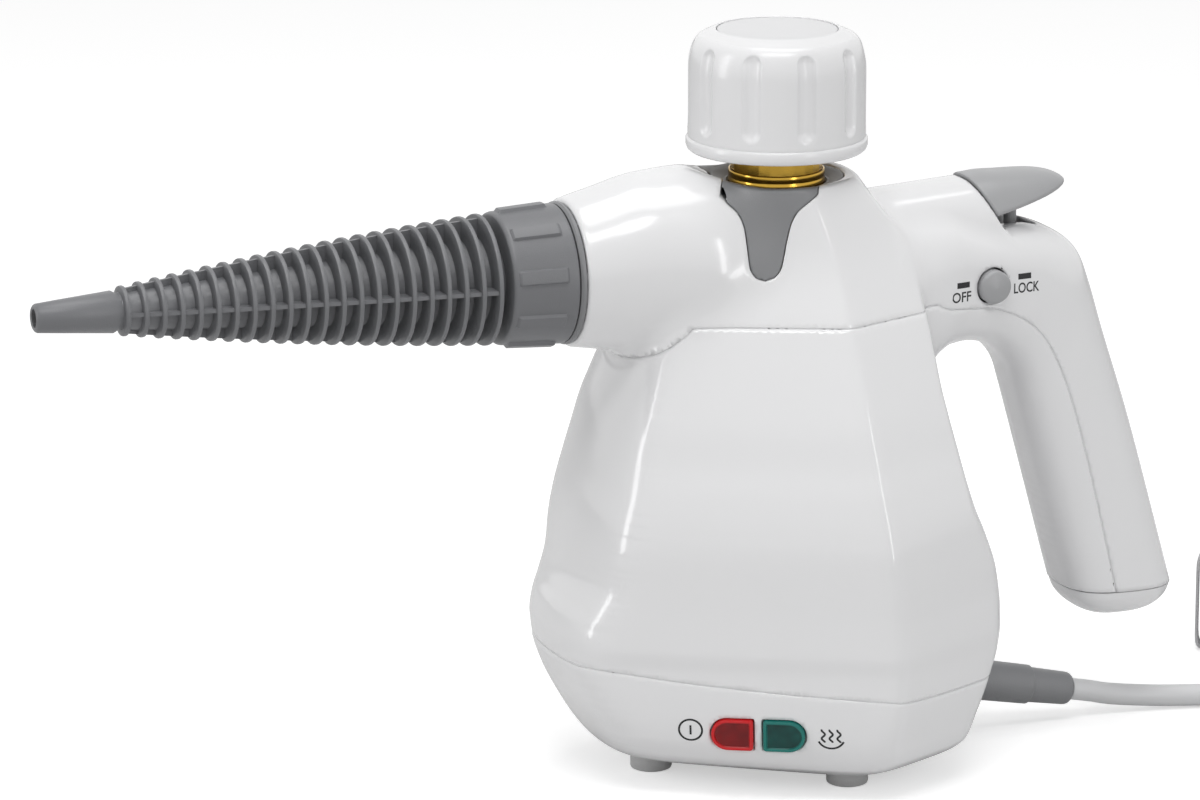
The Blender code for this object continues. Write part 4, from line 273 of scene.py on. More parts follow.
def piece(name, points, faces, finish, body, smooth=None, normals=None):
    """A mesh from an array of points in millimetres and an array of faces, riding on a body."""
    data = bpy.data.meshes.new(name)
    data.from_pydata(world(points).tolist(), [], faces.tolist() if isinstance(faces, np.ndarray) else faces)
    data.validate()
    if smooth is not None:
        data.shade_smooth()
        data.set_sharp_from_angle(angle=math.radians(smooth))
    if normals is not None:
        data.shade_smooth()
        data.normals_split_custom_set_from_vertices(normals.tolist())
    data.materials.append(finish)
    thing = bpy.data.objects.new(name, data)
    bpy.context.scene.collection.objects.link(thing)
    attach(thing, body)
    return thing


def grid_faces(rows, columns, around=True, along=False):
    """Quads between the points of a grid, joined up round the columns, or round the rows as well."""
    down, across = rows if along else rows - 1, columns if around else columns - 1
    i, j = np.meshgrid(np.arange(down), np.arange(across), indexing="ij")
    a, b = i * columns + j, i * columns + (j + 1) % columns
    c, d = ((i + 1) % rows) * columns + (j + 1) % columns, ((i + 1) % rows) * columns + j
    return np.stack([a, b, c, d], axis=-1).reshape(-1, 4)


def end_caps(rows, sides):
    """The two polygons that close a tube of rings."""
    return [list(range(sides)), list(range(rows * sides - 1, (rows - 1) * sides - 1, -1))]


def gathered(parts):
    """Several meshes' points and faces as one."""
    points, faces, base = [], [], 0
    for p, f in parts:
        points.append(p)
        faces += [[i + base for i in face] for face in f]
        base += len(p)
    return np.vstack(points), faces


UPRIGHT = ((0, 0, 0), (0, 0, 1))


def lathe(name, profile, finish, body, axis=UPRIGHT, steps=96, wave=None, smooth=32, closed=False):
    """A profile of (radius, height) turned about an axis, which is a centre and a direction: point =
    centre + r cos t u + r sin t v + h way, the profile running down the outer side. `wave` gives each
    point's change of radius from its angle, radius and height."""
    centre, way = (np.array(a, float) for a in axis)
    line = np.array(profile, float)
    t = np.arange(steps) / steps * TURN
    r = np.repeat(line[:, :1], steps, axis=1)
    h = np.repeat(line[:, 1:], steps, axis=1)
    if wave:
        r = r + wave(t[None, :], r, h)
    u = np.array([1.0, 0, 0]) if abs(way[0]) < 0.5 else np.array([0, 0, 1.0])
    u = u - way * (u @ way)
    u /= np.linalg.norm(u)
    v = np.cross(way, u)
    points = (r * np.cos(t))[..., None] * u + (r * np.sin(t))[..., None] * v + h[..., None] * way + centre
    faces = grid_faces(len(line), steps, along=closed)[:, ::-1]
    caps = [] if closed else end_caps(len(line), steps)
    return piece(name, points.reshape(-1, 3), faces.tolist() + caps, finish, body, smooth=smooth)


def rounded(corners, radii, steps=5):
    """A profile through corners, each turned on a curve that starts and ends radius / tan(half the angle)
    from it."""
    pts = [np.array(p, float) for p in corners]
    out = [pts[0]]
    for k in range(1, len(pts) - 1):
        a, b, c = pts[k - 1], pts[k], pts[k + 1]
        back, on = np.linalg.norm(a - b), np.linalg.norm(c - b)
        u, v = (a - b) / back, (c - b) / on
        half = math.acos(float(np.clip(u @ v, -1, 1))) / 2
        if radii[k] <= 0 or half > math.radians(88):
            out.append(b)
            continue
        reach = min(radii[k] / math.tan(half), back * 0.49, on * 0.49)
        for s in np.linspace(0, 1, steps):
            out.append((1 - s) ** 2 * (b + u * reach) + 2 * s * (1 - s) * b + s**2 * (b + v * reach))
    out.append(pts[-1])
    return np.array(out)


def through(points, each):
    """A Catmull-Rom curve through points, with the same number of places in each step."""
    knots = np.array(points, float)
    ahead = np.vstack([2 * knots[0] - knots[1], knots, 2 * knots[-1] - knots[-2]])
    share = np.linspace(0, 1, each, endpoint=False)[:, None]
    fine = []
    for before, start, end, after in zip(ahead, ahead[1:], ahead[2:], ahead[3:]):
        bend = (2 * before - 5 * start + 4 * end - after) * share**2
        twist = (3 * start - before - 3 * end + after) * share**3
        fine.append(0.5 * (2 * start + (end - before) * share + bend + twist))
    return np.vstack([*fine, knots[-1:]])


def smooth_line(points, step):
    """Points a step apart on one smooth curve through a route."""
    fine = through(points, 24)
    along = np.concatenate([[0], np.cumsum(np.linalg.norm(np.diff(fine, axis=0), axis=1))])
    at = np.linspace(0, along[-1], max(3, round(along[-1] / step) + 1))
    return np.stack([np.interp(at, along, fine[:, i]) for i in range(3)], axis=1)


# Housing: a field over space, negative inside. Its walls, root, hood and grip run into each other on fillets,
# which a grid on one of them can't give, so its skin is read off a lattice.

# Height, then how far each wall is from the axis: nose, side and its turn, flank and its turn, rear
HOUSING = np.array(
    [
        (1.7, 42.0, 31.0, 36.0, 44.0, 27.0, 38.0),
        (3.7, 48.5, 37.0, 35.0, 50.0, 27.0, 46.0),
        (5.8, 54.0, 43.0, 33.5, 56.0, 27.0, 50.0),
        (8.0, 58.0, 47.7, 32.0, 60.5, 27.0, 52.6),
        (11.3, 61.3, 51.2, 30.0, 64.0, 27.0, 54.5),
        (18.0, 65.7, 54.7, 28.2, 66.0, 27.0, 56.5),
        (31.0, 72.5, 57.0, 28.0, 69.2, 27.0, 60.6),
        (40.0, 75.4, 57.8, 27.9, 69.9, 27.0, 63.2),
        (47.0, 75.8, 59.5, 27.7, 70.7, 27.0, 63.9),
        (53.0, 74.6, 59.6, 27.6, 70.5, 27.0, 63.8),
        (58.0, 72.5, 59.7, 27.5, 70.2, 27.0, 63.3),
        (66.0, 69.7, 60.1, 27.4, 70.1, 26.7, 61.9),
        (76.0, 68.4, 60.5, 27.1, 69.4, 26.3, 58.5),
        (85.0, 66.6, 59.5, 26.9, 67.8, 25.9, 54.7),
        (95.0, 63.8, 57.4, 26.6, 64.9, 25.5, 51.4),
        (104.0, 61.3, 54.5, 26.3, 61.6, 25.1, 48.8),
        (114.0, 58.3, 51.8, 25.8, 58.2, 24.7, 46.0),
        (123.0, 54.8, 48.4, 25.4, 54.5, 24.3, 43.8),
        (143.0, 46.6, 39.6, 24.9, 45.1, 23.0, 40.5),
        (165.0, 34.5, 28.3, 24.9, 33.0, 21.9, 35.0),
        (180.0, 25.8, 24.0, 24.9, 26.0, 21.9, 26.6),
        (189.0, 20.5, 20.5, 24.9, 20.5, 21.9, 20.5),
    ]
)
# Reach, top, bottom and half width of the nozzle's root, from the nozzle's axis
ROOT = np.array(
    [
        (0.0, 20.4, -22.7, 21.6),
        (16.1, 28.1, -29.5, 26.8),
        (28.0, 30.2, -30.9, 27.7),
        (44.8, 29.1, -27.0, 25.4),
        (60.2, 25.3, -24.3, 23.6),
        (70.0, 22.7, -22.7, 22.7),
    ]
)
# The grip's two edges in the side view, x and z, and its width at each pair of points
GRIP_INNER = [(36, 112), (49.5, 124.5), (56, 127), (62.5, 127), (68.4, 125.2), (73.5, 121)]
GRIP_INNER += [(77, 115.3), (79.5, 107), (82.9, 95), (88.2, 75.9), (94.7, 52.5), (97.5, 42.75)]
GRIP_OUTER = [(34, 171), (50, 170), (58, 167.6), (68, 165.5), (79.6, 164), (90.2, 160.7)]
GRIP_OUTER += [(98.2, 154.8), (102.6, 145), (107.8, 128.4), (117.2, 100), (128, 63), (133.6, 43.3)]
GRIP_WIDTHS = [50, 48, 45, 42, 40, 38, 37, 36, 36, 36, 36, 36]
COVER_SEAM = [(-130.5, 124), (-66, 124.6), (-60.5, 126), (-48, 135), (-38, 142.6), (-32, 144)]
COVER_SEAM += [(39, 144), (46.5, 142.2), (57, 141), (65.5, 140), (75, 135.9), (81.3, 131)]
COVER_SEAM += [(86.9, 123), (93.2, 107.6), (101, 80.3), (112.5, 33.5)]
BASE_SEAM = [(-82, 39.5), (-67, 39.3), (-47, 36.8), (-20, 34.3), (8, 32.4), (34, 31.1), (82, 31)]


def columns_at(table, at):
    """Monotone cubics through a table's columns: slopes are harmonic means of the steps on either side."""
    x, y = table[:, 0], table[:, 1:]
    gap = np.diff(x)[:, None]
    rise = np.diff(y, axis=0) / gap
    a, b = rise[:-1], rise[1:]
    alike = a * b > 0
    middle = np.where(alike, 2 * a * b / np.where(alike, a + b, 1), 0)
    slope = np.vstack([rise[:1], middle, rise[-1:]])
    at = np.clip(at, x[0], x[-1])
    k = np.clip(np.searchsorted(x, at) - 1, 0, len(x) - 2)
    h = gap[k]
    t = ((at - x[k])[..., None]) / h
    low = (1 + 2 * t) * (1 - t) ** 2 * y[k] + t * (1 - t) ** 2 * h * slope[k]
    return low + t**2 * (3 - 2 * t) * y[k + 1] + t**2 * (t - 1) * h * slope[k + 1]


def look_up(table, u, v):
    """A table between its four nearest entries, at fractional rows u and columns v."""
    i = np.clip(np.floor(u).astype(int), 0, table.shape[0] - 2)
    j = np.clip(np.floor(v).astype(int), 0, table.shape[1] - 2)
    a, b = np.clip(u - i, 0, 1), np.clip(v - j, 0, 1)
    low = table[i, j] * (1 - b) + table[i, j + 1] * b
    return low * (1 - a) + (table[i + 1, j] * (1 - b) + table[i + 1, j + 1] * b) * a


def join(a, b, fillet):
    """The union of two fields, with a fillet where they meet."""
    h = np.clip(0.5 + 0.5 * (b - a) / fillet, 0, 1)
    return b * (1 - h) + a * h - fillet * h * (1 - h)


def both(a, b, edge):
    """Where both fields are inside, with their edge rounded."""
    return -join(-a, -b, edge)


def ramp(low, high, x):
    t = np.clip((x - low) / (high - low), 0, 1)
    return t * t * (3 - 2 * t)


def wall(t, facing, distance, bow):
    """How far a ray from the axis runs before it meets a wall bowed to a radius."""
    off = distance - bow
    along = off * np.cos(t - facing)
    return along + np.sqrt(np.maximum(along**2 + bow**2 - off**2, 1e-6))


RADIUS_STEP = 0.5
RADIUS_TURNS = 1440


def radius_table():
    """Distance from the axis to the housing's skin by height and angle: the walls meet in tight ridges,
    and a flat takes each of the two ridges beside the nose. Walls are merged in one sum of powers,
    r = (r1 ** -power + r2 ** -power + ...) ** (-1 / power)."""
    z = np.arange(0, 193, RADIUS_STEP)
    t = np.linspace(-math.pi, math.pi, RADIUS_TURNS + 1)[None, :]
    nose, side, side_turn, flank, flank_turn, rear = (c[:, None] for c in columns_at(HOUSING, z).T)
    share = np.clip((z[:, None] - 143) / 46, 0, 1)

    def bowed(bow, distance):
        return np.maximum(bow * (1 - share) + 20.5 * share, distance)

    nose_wall = (math.pi, nose, bowed(115, nose))
    walls = [nose_wall, (0.0, rear, bowed(150, rear))]
    for hand in (-1, 1):
        walls.append((hand * np.radians(90 + side_turn), side, bowed(900, side)))
        walls.append((hand * np.radians(90 - flank_turn), flank, bowed(700, flank)))
    power = (64 - 30 * share) * (0.3 + 0.7 * ramp(3, 34, z)[:, None])
    total = 0
    for one in walls:
        total = total + wall(t, *one) ** -power
    for hand in (-1, 1):
        facing, distance, bow = beside = walls[3 + hand]
        ahead = (hand * t > math.radians(100)) & (hand * t < math.radians(179))
        apart = np.where(ahead, np.abs(wall(t, *nose_wall) - wall(t, *beside)), 1e9)
        at = apart.argmin(axis=1)
        angle = t[0, at][:, None]
        reach = wall(angle, *nose_wall)
        x, y = reach * np.cos(angle), reach * np.sin(angle)
        first = np.arctan2(y, x - (nose_wall[2] - nose))
        off = distance - bow
        second = np.arctan2(y - off * np.sin(facing), x - off * np.cos(facing))
        across = np.arctan2(np.sin(first) + np.sin(second), np.cos(first) + np.cos(second))
        depth = 1.35 * (1 - share) * ramp(2, 14, z)[:, None] + 0.02
        flat = x * np.cos(across) + y * np.sin(across) - depth
        slant = np.cos(t - across)
        total = total + np.where(slant > 0.2, flat / np.maximum(slant, 0.2), 1e3) ** -power
    return total ** (-1 / power)


RADII = radius_table()


def housing_body(x, y, z):
    """The faceted housing, from its underside up to its shoulder."""
    out = look_up(RADII, z / RADIUS_STEP, (np.arctan2(y, x) + math.pi) / TURN * RADIUS_TURNS)
    return both(both(np.hypot(x, y) - out, 1.7 - z, 2.0), z - SHOULDER, 1.6)


def root_body(x, y, z):
    """Ovals along the nozzle's axis, cut square at the mouth."""
    top, low, half = np.moveaxis(columns_at(ROOT, -x), -1, 0)
    middle, tall = (top + low) / 2, (top - low) / 2
    oval = (np.sqrt((y / half) ** 2 + ((z - NOZZLE_Z - middle) / tall) ** 2) - 1) * np.minimum(half, tall)
    return both(np.maximum(oval, x - 8), -70.0 - x, 1.6)


HOOD_Z = 158.0
HOOD_HALF = 16.0
HOOD_POWER = 2.6
GRIP_POWER = 2.8


def squircle(a, b, power):
    """|(a, b)| in a superellipse's measure: 1 on it, less inside."""
    return (np.abs(a) ** power + np.abs(b) ** power) ** (1 / power)


def hood_body(x, y, z, inset=0.0):
    """The trigger's hood: superellipses that rise 2.5 mm backwards, less an inset for its inner face."""
    rise = 17.5 + 2.5 * np.clip((x - 24) / 38.3, 0, 1) - inset
    norm = squircle(y / (HOOD_HALF - inset), (z - HOOD_Z) / rise, HOOD_POWER)
    return np.maximum((norm - 1) * HOOD_HALF, 12.0 - x)


def rake_side(x, z):
    """Distance behind the raked joint between hood and trigger."""
    return (x - 62.3) * math.cos(RAKE) + (z - 178.0) * math.sin(RAKE)


# The side view, as a grid of x and z on which seams and grip are worked out once
SIDE_LOW = (-145.0, -8.0)
SIDE_HIGH = (150.0, 200.0)
SIDE_STEP = 0.5
SIDE_AXES = [np.arange(low, high, SIDE_STEP) for low, high in zip(SIDE_LOW, SIDE_HIGH)]
SIDE_X, SIDE_Z = np.meshgrid(*SIDE_AXES, indexing="ij")


def side_look(table, x, z):
    """A side view's table at any place."""
    return look_up(table, (x - SIDE_LOW[0]) / SIDE_STEP, (z - SIDE_LOW[1]) / SIDE_STEP)


def seam_table(points):
    """Signed distance from a seam in the side view: positive above and behind it."""
    line = smooth_line([(x, 0, z) for x, z in points], 3.0)[:, [0, 2]]
    best = np.full(SIDE_X.shape, 1e9)
    signed = np.zeros(SIDE_X.shape)
    for (ax, az), (bx, bz) in zip(line, line[1:]):
        dx, dz = bx - ax, bz - az
        t = np.clip(((SIDE_X - ax) * dx + (SIDE_Z - az) * dz) / (dx * dx + dz * dz), 0, 1)
        away = np.hypot(SIDE_X - ax - t * dx, SIDE_Z - az - t * dz)
        hand = np.sign(dx * (SIDE_Z - az) - dz * (SIDE_X - ax))
        nearer = away < best
        best = np.where(nearer, away, best)
        signed = np.where(nearer, away * hand, signed)
    return signed


COVER_SIDE = seam_table(COVER_SEAM)
BASE_SIDE = seam_table(BASE_SEAM)


def grip_tables():
    """For each point of the side view, the grip's section through it: place across it from -1 to 1, half
    width, half depth and how far the point lies beyond the grip's ends."""
    inner, outer = through(GRIP_INNER, 8), through(GRIP_OUTER, 8)
    width = np.interp(np.linspace(0, 11, len(inner)), np.arange(12), GRIP_WIDTHS) / 2
    centre, half = (inner + outer) / 2, (outer - inner) / 2
    depth = np.linalg.norm(half, axis=1)
    across = half / depth[:, None]
    ahead = np.stack([across[:, 1], -across[:, 0]], axis=1)
    away = np.stack([(SIDE_X - c[0]) * n[0] + (SIDE_Z - c[1]) * n[1] for c, n in zip(centre, ahead)])
    place = np.stack([(SIDE_X - c[0]) * d[0] + (SIDE_Z - c[1]) * d[1] for c, d in zip(centre, across)])
    between = (away[:-1] >= 0) & (away[1:] < 0)
    t = away[:-1] / np.where(between, away[:-1] - away[1:], 1)
    deep = depth[:-1, None, None] * (1 - t) + depth[1:, None, None] * t
    shares = (place[:-1] * (1 - t) + place[1:] * t) / deep
    wide = width[:-1, None, None] * (1 - t) + width[1:, None, None] * t
    score = np.where(between, np.abs(shares), 1e6)
    pick = score.argmin(axis=0)[None]
    found = np.take_along_axis(between, pick, 0)[0]

    def picked(values, first, last):
        return np.where(found, np.take_along_axis(values, pick, 0)[0], np.where(away[0] < 0, first, last))

    share = picked(shares, place[0] / depth[0], place[-1] / depth[-1])
    half_wide, half_deep = picked(wide, width[0], width[-1]), picked(deep, depth[0], depth[-1])
    return share, half_wide, half_deep, np.maximum(-away[0], away[-1])


GRIP_SHARE, GRIP_HALF, GRIP_DEEP, GRIP_BEYOND = grip_tables()


def grip_body(x, y, z):
    """The grip: superellipses square to a line that bends down its middle."""
    share, half, deep, beyond = (side_look(t, x, z) for t in (GRIP_SHARE, GRIP_HALF, GRIP_DEEP, GRIP_BEYOND))
    norm = squircle(share, y / half, GRIP_POWER)
    return np.maximum((norm - 1) * np.minimum(half, deep), beyond)


def whole_body(x, y, z):
    """The housing outside, all in one, under a shallow cone that rises from the shoulder. A lip stands
    round the rod's hole."""
    hood = both(hood_body(x, y, z), rake_side(x, z), 1.2)
    body = join(housing_body(x, y, z), root_body(x, y, z), 7.0)
    body = both(body, (z - SHOULDER - 0.2 - 0.5 * (np.hypot(x, y) - 21.0)) * 0.9, 2.0)
    body = join(body, grip_body(x, y, z), 7.0)
    lip = np.maximum(np.hypot(x - ROD_X, y) - 4.3, np.abs(z - 160.0) - (5.2 - 0.16 * (x - ROD_X)))
    body = join(body, lip, 1.2)
    return join(body, hood, 2.5)


# Height and half width of the insert's tongues
TONGUE = [(157.5, 0.0), (158.3, 2.5), (161.1, 4.4), (167.9, 5.6), (173.1, 6.7), (177.0, 8.6)]
TONGUE = np.array([*TONGUE, (180.0, 12.0), (182.0, 14.5)])
TONGUE_TURN = math.radians(118)


def trim_area(x, y, z):
    """The grey insert's place: a disc round the neck, and a tongue down each side facet."""
    half = columns_at(TONGUE, z)[..., 0]
    along = np.abs(x * math.sin(TONGUE_TURN) - np.abs(y) * math.cos(TONGUE_TURN))
    tongue = np.maximum(np.maximum((along - half) * 0.8, TONGUE[0, 0] - z), 8 - np.abs(y))
    disc = np.maximum(np.hypot(x, y) - INSERT_RADIUS, 178.0 - z)
    return join(tongue, disc, 2.0)


def bar(x, y, z, start, way, radius, low, high):
    """A round bar along a direction, between two distances from its start."""
    dx, dy, dz = x - start[0], y - start[1], z - start[2]
    along = dx * way[0] + dy * way[1] + dz * way[2]
    out = np.sqrt(np.maximum(dx**2 + dy**2 + dz**2 - along**2, 0)) - radius
    return np.maximum(np.maximum(out, low - along), along - high)


# Half the gap at a seam, how its edges are rounded, and the gap round the insert
SEAM = 0.14
SEAM_EDGE = 0.7
INSERT_GAP = 0.22


def cover_field(x, y, z):
    """Above the cover's seam, less the insert and its disc, the spigot's bore, the lock's two holes, the
    rod's hole and the hood's mouth with the trigger's slot below it."""
    skin = both(whole_body(x, y, z), SEAM - side_look(COVER_SIDE, x, z), SEAM_EDGE)
    skin = both(skin, -(trim_area(x, y, z) - INSERT_GAP), 0.5)
    skin = both(skin, -np.maximum(np.hypot(x, y) - (INSERT_RADIUS + 0.25), SHOULDER - 0.3 - z), 0.8)
    skin = both(skin, -bar(x, y, z, (0, 0, NOZZLE_Z), (-1, 0, 0), 20.3, 65.8, 99), 0.4)
    for hand in (-1, 1):
        skin = both(skin, -bar(x, y, z, LOCK_AT, (0, hand, 0), 5.75, 8, 40), 0.8)
    skin = both(skin, -bar(x, y, z, (ROD_X, 0, 150), (0, 0, 1), 4.5, 0, 40), 0.6)
    mouth = np.maximum(hood_body(x, y, z, 2.4), 163.5 - z)
    slot = np.maximum(np.maximum(np.abs(y) - 6.6, 50 - x), np.maximum(153.5 - z, z - 165.0))
    slot = np.maximum(slot, rake_side(x, z) - 12)
    skin = both(skin, -np.maximum(join(mouth, slot, 0.5), 40 - x), 0.5)
    return both(skin, GRIP_END - z, 0.5)


def relief_hole(x, y, z):
    return bar(x, y, z, RELIEF_AT, RELIEF_WAY, 7.0, -12, 40)


def above_grip_end(low, x, z):
    """Inside above a height, for the grip alone."""
    return low - z - 200 * (x < 72)


def shell_field(x, y, z):
    """Between the two seams, less the strain relief's hole."""
    skin = both(whole_body(x, y, z), side_look(COVER_SIDE, x, z) + SEAM, SEAM_EDGE)
    skin = both(skin, SEAM - side_look(BASE_SIDE, x, z), SEAM_EDGE)
    skin = both(skin, -relief_hole(x, y, z), 0.5)
    return both(skin, above_grip_end(GRIP_END, x, z), 0.5)


def lens_shape(u, v, hand, grow):
    """A D in the lens's own plane: a square left half and a round right half, turned by hand, corners
    rounded."""
    u = u * hand
    half, tall = 6.6 + grow, 5.3 + grow
    r = 0.9
    box = np.hypot(np.maximum(-u - half + r, 0), np.maximum(np.abs(v) - tall + r, 0)) - r
    nose = np.hypot(np.maximum(u - (half - tall), 0), v) - tall
    return np.where(u > (half - tall), nose, box)


def base_field(x, y, z):
    """Below the base's seam, less the strain relief's hole and the lenses' windows."""
    skin = both(whole_body(x, y, z), side_look(BASE_SIDE, x, z) + SEAM, 0.9)
    skin = both(skin, -relief_hole(x, y, z), 0.5)
    dx, dy, dz = x - LAMP_CENTRE[0], y - LAMP_CENTRE[1], z - LAMP_CENTRE[2]
    u, v, out = (dx * way[0] + dy * way[1] + dz * way[2] for way in (LAMP_ALONG, LAMP_UP, LAMP_OUT))
    for place, hand in LAMP_PLACES.values():
        window = np.maximum(lens_shape(u - place, v, hand, 0.35), -3.0 - out)
        skin = both(skin, -window, 0.35)
    return skin


def trim_field(x, y, z):
    """The insert: a plate 2.6 mm thick, a little below the cover, dished round the neck's hole."""
    radius = np.hypot(x, y)
    skin = both(whole_body(x, y, z) + 0.15, trim_area(x, y, z), 0.5)
    dish = SHOULDER - 1.9 + 1.5 * ramp(15.0, 20.4, radius)
    skin = both(skin, np.where(radius < INSERT_RADIUS + 0.3, z - dish, -5.0), 0.4)
    skin = both(skin, -(radius - 15.1), 0.9)
    inside = housing_body(x, y, np.minimum(z + 2.5, 191.0)) + 2.6
    return both(skin, -inside, 0.4)


CORNERS = [(i, j, k) for i in (0, 1) for j in (0, 1) for k in (0, 1)]


def slope_of(field, p, step):
    """The field's gradient, by differences each way."""
    x, y, z = p.T
    ways = [
        field(x + step, y, z) - field(x - step, y, z),
        field(x, y + step, z) - field(x, y - step, z),
        field(x, y, z + step) - field(x, y, z - step),
    ]
    return np.stack(ways, axis=1) / (2 * step)


def skin_of(field, low, high, cell):
    """Points, quads and normals on a field's zero. Each lattice edge that the skin crosses gives a point
    and a plane, and a quad between the four cells round it. A cell's own point is the one nearest all its
    planes, by least squares held to the crossings' mean, so that it lies on an edge or corner where the
    skin has one."""
    axes = [np.arange(a, b + cell, cell) for a, b in zip(low, high)]
    corner_low = np.array([a[0] for a in axes])
    shape = tuple(len(a) for a in axes)
    value = np.broadcast_to(field(*np.ix_(*axes)), shape)
    inside = value < 0
    n = np.array(shape) - 1
    some, every = np.zeros(n, bool), np.ones(n, bool)
    for i, j, k in CORNERS:
        part = inside[i : i + n[0], j : j + n[1], k : k + n[2]]
        some |= part
        every &= part
    cells = np.argwhere(some & ~every)
    number = np.zeros(n, np.int64)
    number[tuple(cells.T)] = np.arange(len(cells))
    square, pull = np.zeros((len(cells), 3, 3)), np.zeros((len(cells), 3))
    total, count = np.zeros((len(cells), 3)), np.zeros(len(cells))
    quads = []
    for axis in range(3):
        u, v = (axis + 1) % 3, (axis + 2) % 3
        keep, nearer, further = ([slice(None)] * 3 for _ in range(3))
        keep[u], keep[v] = slice(1, n[u]), slice(1, n[v])
        nearer[axis], further[axis] = slice(0, n[axis]), slice(1, n[axis] + 1)
        kept = inside[tuple(keep)]
        spots = np.argwhere(kept[tuple(nearer)] != kept[tuple(further)])
        spots[:, u] += 1
        spots[:, v] += 1
        way, du, dv = np.eye(3, dtype=int)[[axis, u, v]]
        start, end = value[tuple(spots.T)], value[tuple((spots + way).T)]
        at = corner_low + (spots + (start / (start - end))[:, None] * way) * cell
        slope = slope_of(field, at, 0.06)
        steep = np.linalg.norm(slope, axis=1)[:, None] + 1e-6
        at = at - slope * (np.clip(field(*at.T), -0.3, 0.3)[:, None] / np.maximum(steep, 0.3) ** 2)
        plane = slope / steep
        ring = [number[tuple((spots - back).T)] for back in (du * 0, du, du + dv, dv)]
        ring = np.stack(ring, axis=1)
        reach = (plane * at).sum(axis=1)[:, None]
        for own in ring.T:
            np.add.at(square, own, plane[:, :, None] * plane[:, None, :])
            np.add.at(pull, own, plane * reach)
            np.add.at(total, own, at)
            np.add.at(count, own, 1)
        quads.append(np.where(inside[tuple(spots.T)][:, None], ring, ring[:, ::-1]))
    middle = total / np.maximum(count, 1)[:, None]
    rest = pull - (square @ middle[:, :, None])[:, :, 0]
    move = np.linalg.solve(square + 0.04 * np.eye(3), rest[:, :, None])[:, :, 0]
    points = middle + np.clip(move, -0.8 * cell, 0.8 * cell)
    normals = slope_of(field, points, 0.2)
    normals /= np.linalg.norm(normals, axis=1)[:, None] + 1e-9
    return points, np.vstack(quads), normals


def skinned(name, field, low, high, cell, finish, body, *nodes):
    """A field's skin as a piece, in the place of the model's own nodes."""
    points, quads, normals = skin_of(field, low, high, cell)
    thing = piece(name, points, quads, finish, body, normals=normals)
    if nodes:
        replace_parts(thing, *nodes)


def bed_field(x, y, z):
    """A band under each seam, which closes the groove half a millimetre down."""
    skin = whole_body(x, y, z)
    near = np.minimum(np.abs(side_look(COVER_SIDE, x, z)), np.abs(side_look(BASE_SIDE, x, z)))
    band = np.maximum(np.maximum(skin + 0.5, -(skin + 2.4)), near - 1.7)
    return np.maximum(band, above_grip_end(GRIP_END + 1.1, x, z))


# The lattice's step, and the boxes that the skins lie in
CELL = 1.15
COVER_BOX = ((-74, -56, 41), (138, 56, 192))
SHELL_BOX = ((-80, -75, 28), (118, 75, 147))
BASE_BOX = ((-80, -75, 0), (69, 75, 42))
SEAM_BOX = ((-80, -75, 28), (138, 75, 150))
TRIM_BOX = ((-24, -31, 155), (24, 31, 191))
skinned("cover_skin", cover_field, *COVER_BOX, CELL, WHITE, "housing", "top_cover")
skinned("shell_skin", shell_field, *SHELL_BOX, CELL * 1.04, WHITE, "housing", "body_shell")
skinned("base_skin", base_field, *BASE_BOX, CELL, WHITE, "housing", "base_shell")
skinned("seam_bed", bed_field, *SEAM_BOX, CELL, WHITE, "housing")
skinned("trim_skin", trim_field, *TRIM_BOX, CELL * 0.5, TRIM_GREY, "housing", "neck_trim")


LENS_HALF = (6.45, 5.15)
LENS_RIM = [(0.0, -2.4), (0.0, 0.55), (-0.12, 0.85), (-0.4, 1.0), (-0.75, 1.0), (-1.0, 0.85), (-1.15, 0.5)]


def grown_lens(grow):
    """Outline of a lens, round on its right: half a circle, then a side with two small corners."""
    u_half, v_half = (half + grow for half in LENS_HALF)
    t = np.linspace(-math.pi / 2, math.pi / 2, 24)
    nose = np.stack([u_half - v_half + v_half * np.cos(t), v_half * np.sin(t)], axis=1)
    r = min(0.9, v_half * 0.4)
    top = np.linspace(math.pi / 2, math.pi, 7)
    corner = np.stack([-u_half + r + r * np.cos(top), v_half - r + r * np.sin(top)], axis=1)
    return np.vstack([nose, corner, corner[::-1] * (1, -1)])


def lens(name, place, hand, finish, node):
    """A raised rim round a sunken face: outlines from the root up over the rim and down to the face's
    middle."""
    rings = [np.insert(grown_lens(grow), 2, out, axis=1) for grow, out in LENS_RIM]
    inner = grown_lens(-1.2)
    for share in (1, 0.8, 0.6, 0.4, 0.2, 0.02):
        rings.append(np.insert(inner * share, 2, 0.42 + 0.2 * (1 - share**2), axis=1))
    flat, sides = np.array(rings), len(inner)
    u, v, out = flat[..., 0] * hand + place, flat[..., 1], flat[..., 2]
    points = LAMP_CENTRE + u[..., None] * LAMP_ALONG + v[..., None] * LAMP_UP + out[..., None] * LAMP_OUT
    caps = [list(range(sides))[::-1], list(range((len(rings) - 1) * sides, len(rings) * sides))]
    faces = [face[::hand] for face in grid_faces(len(rings), sides).tolist() + caps]
    thing = piece(name, points.reshape(-1, 3), faces, finish, "housing", smooth=35)
    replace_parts(thing, node)


lens("red_window", *LAMP_PLACES["red"], RED, "red_lens")
lens("green_window", *LAMP_PLACES["green"], GREEN, "green_lens")


# Trigger: ovals like the hood's, drawn in to a beak, above a slanting underside

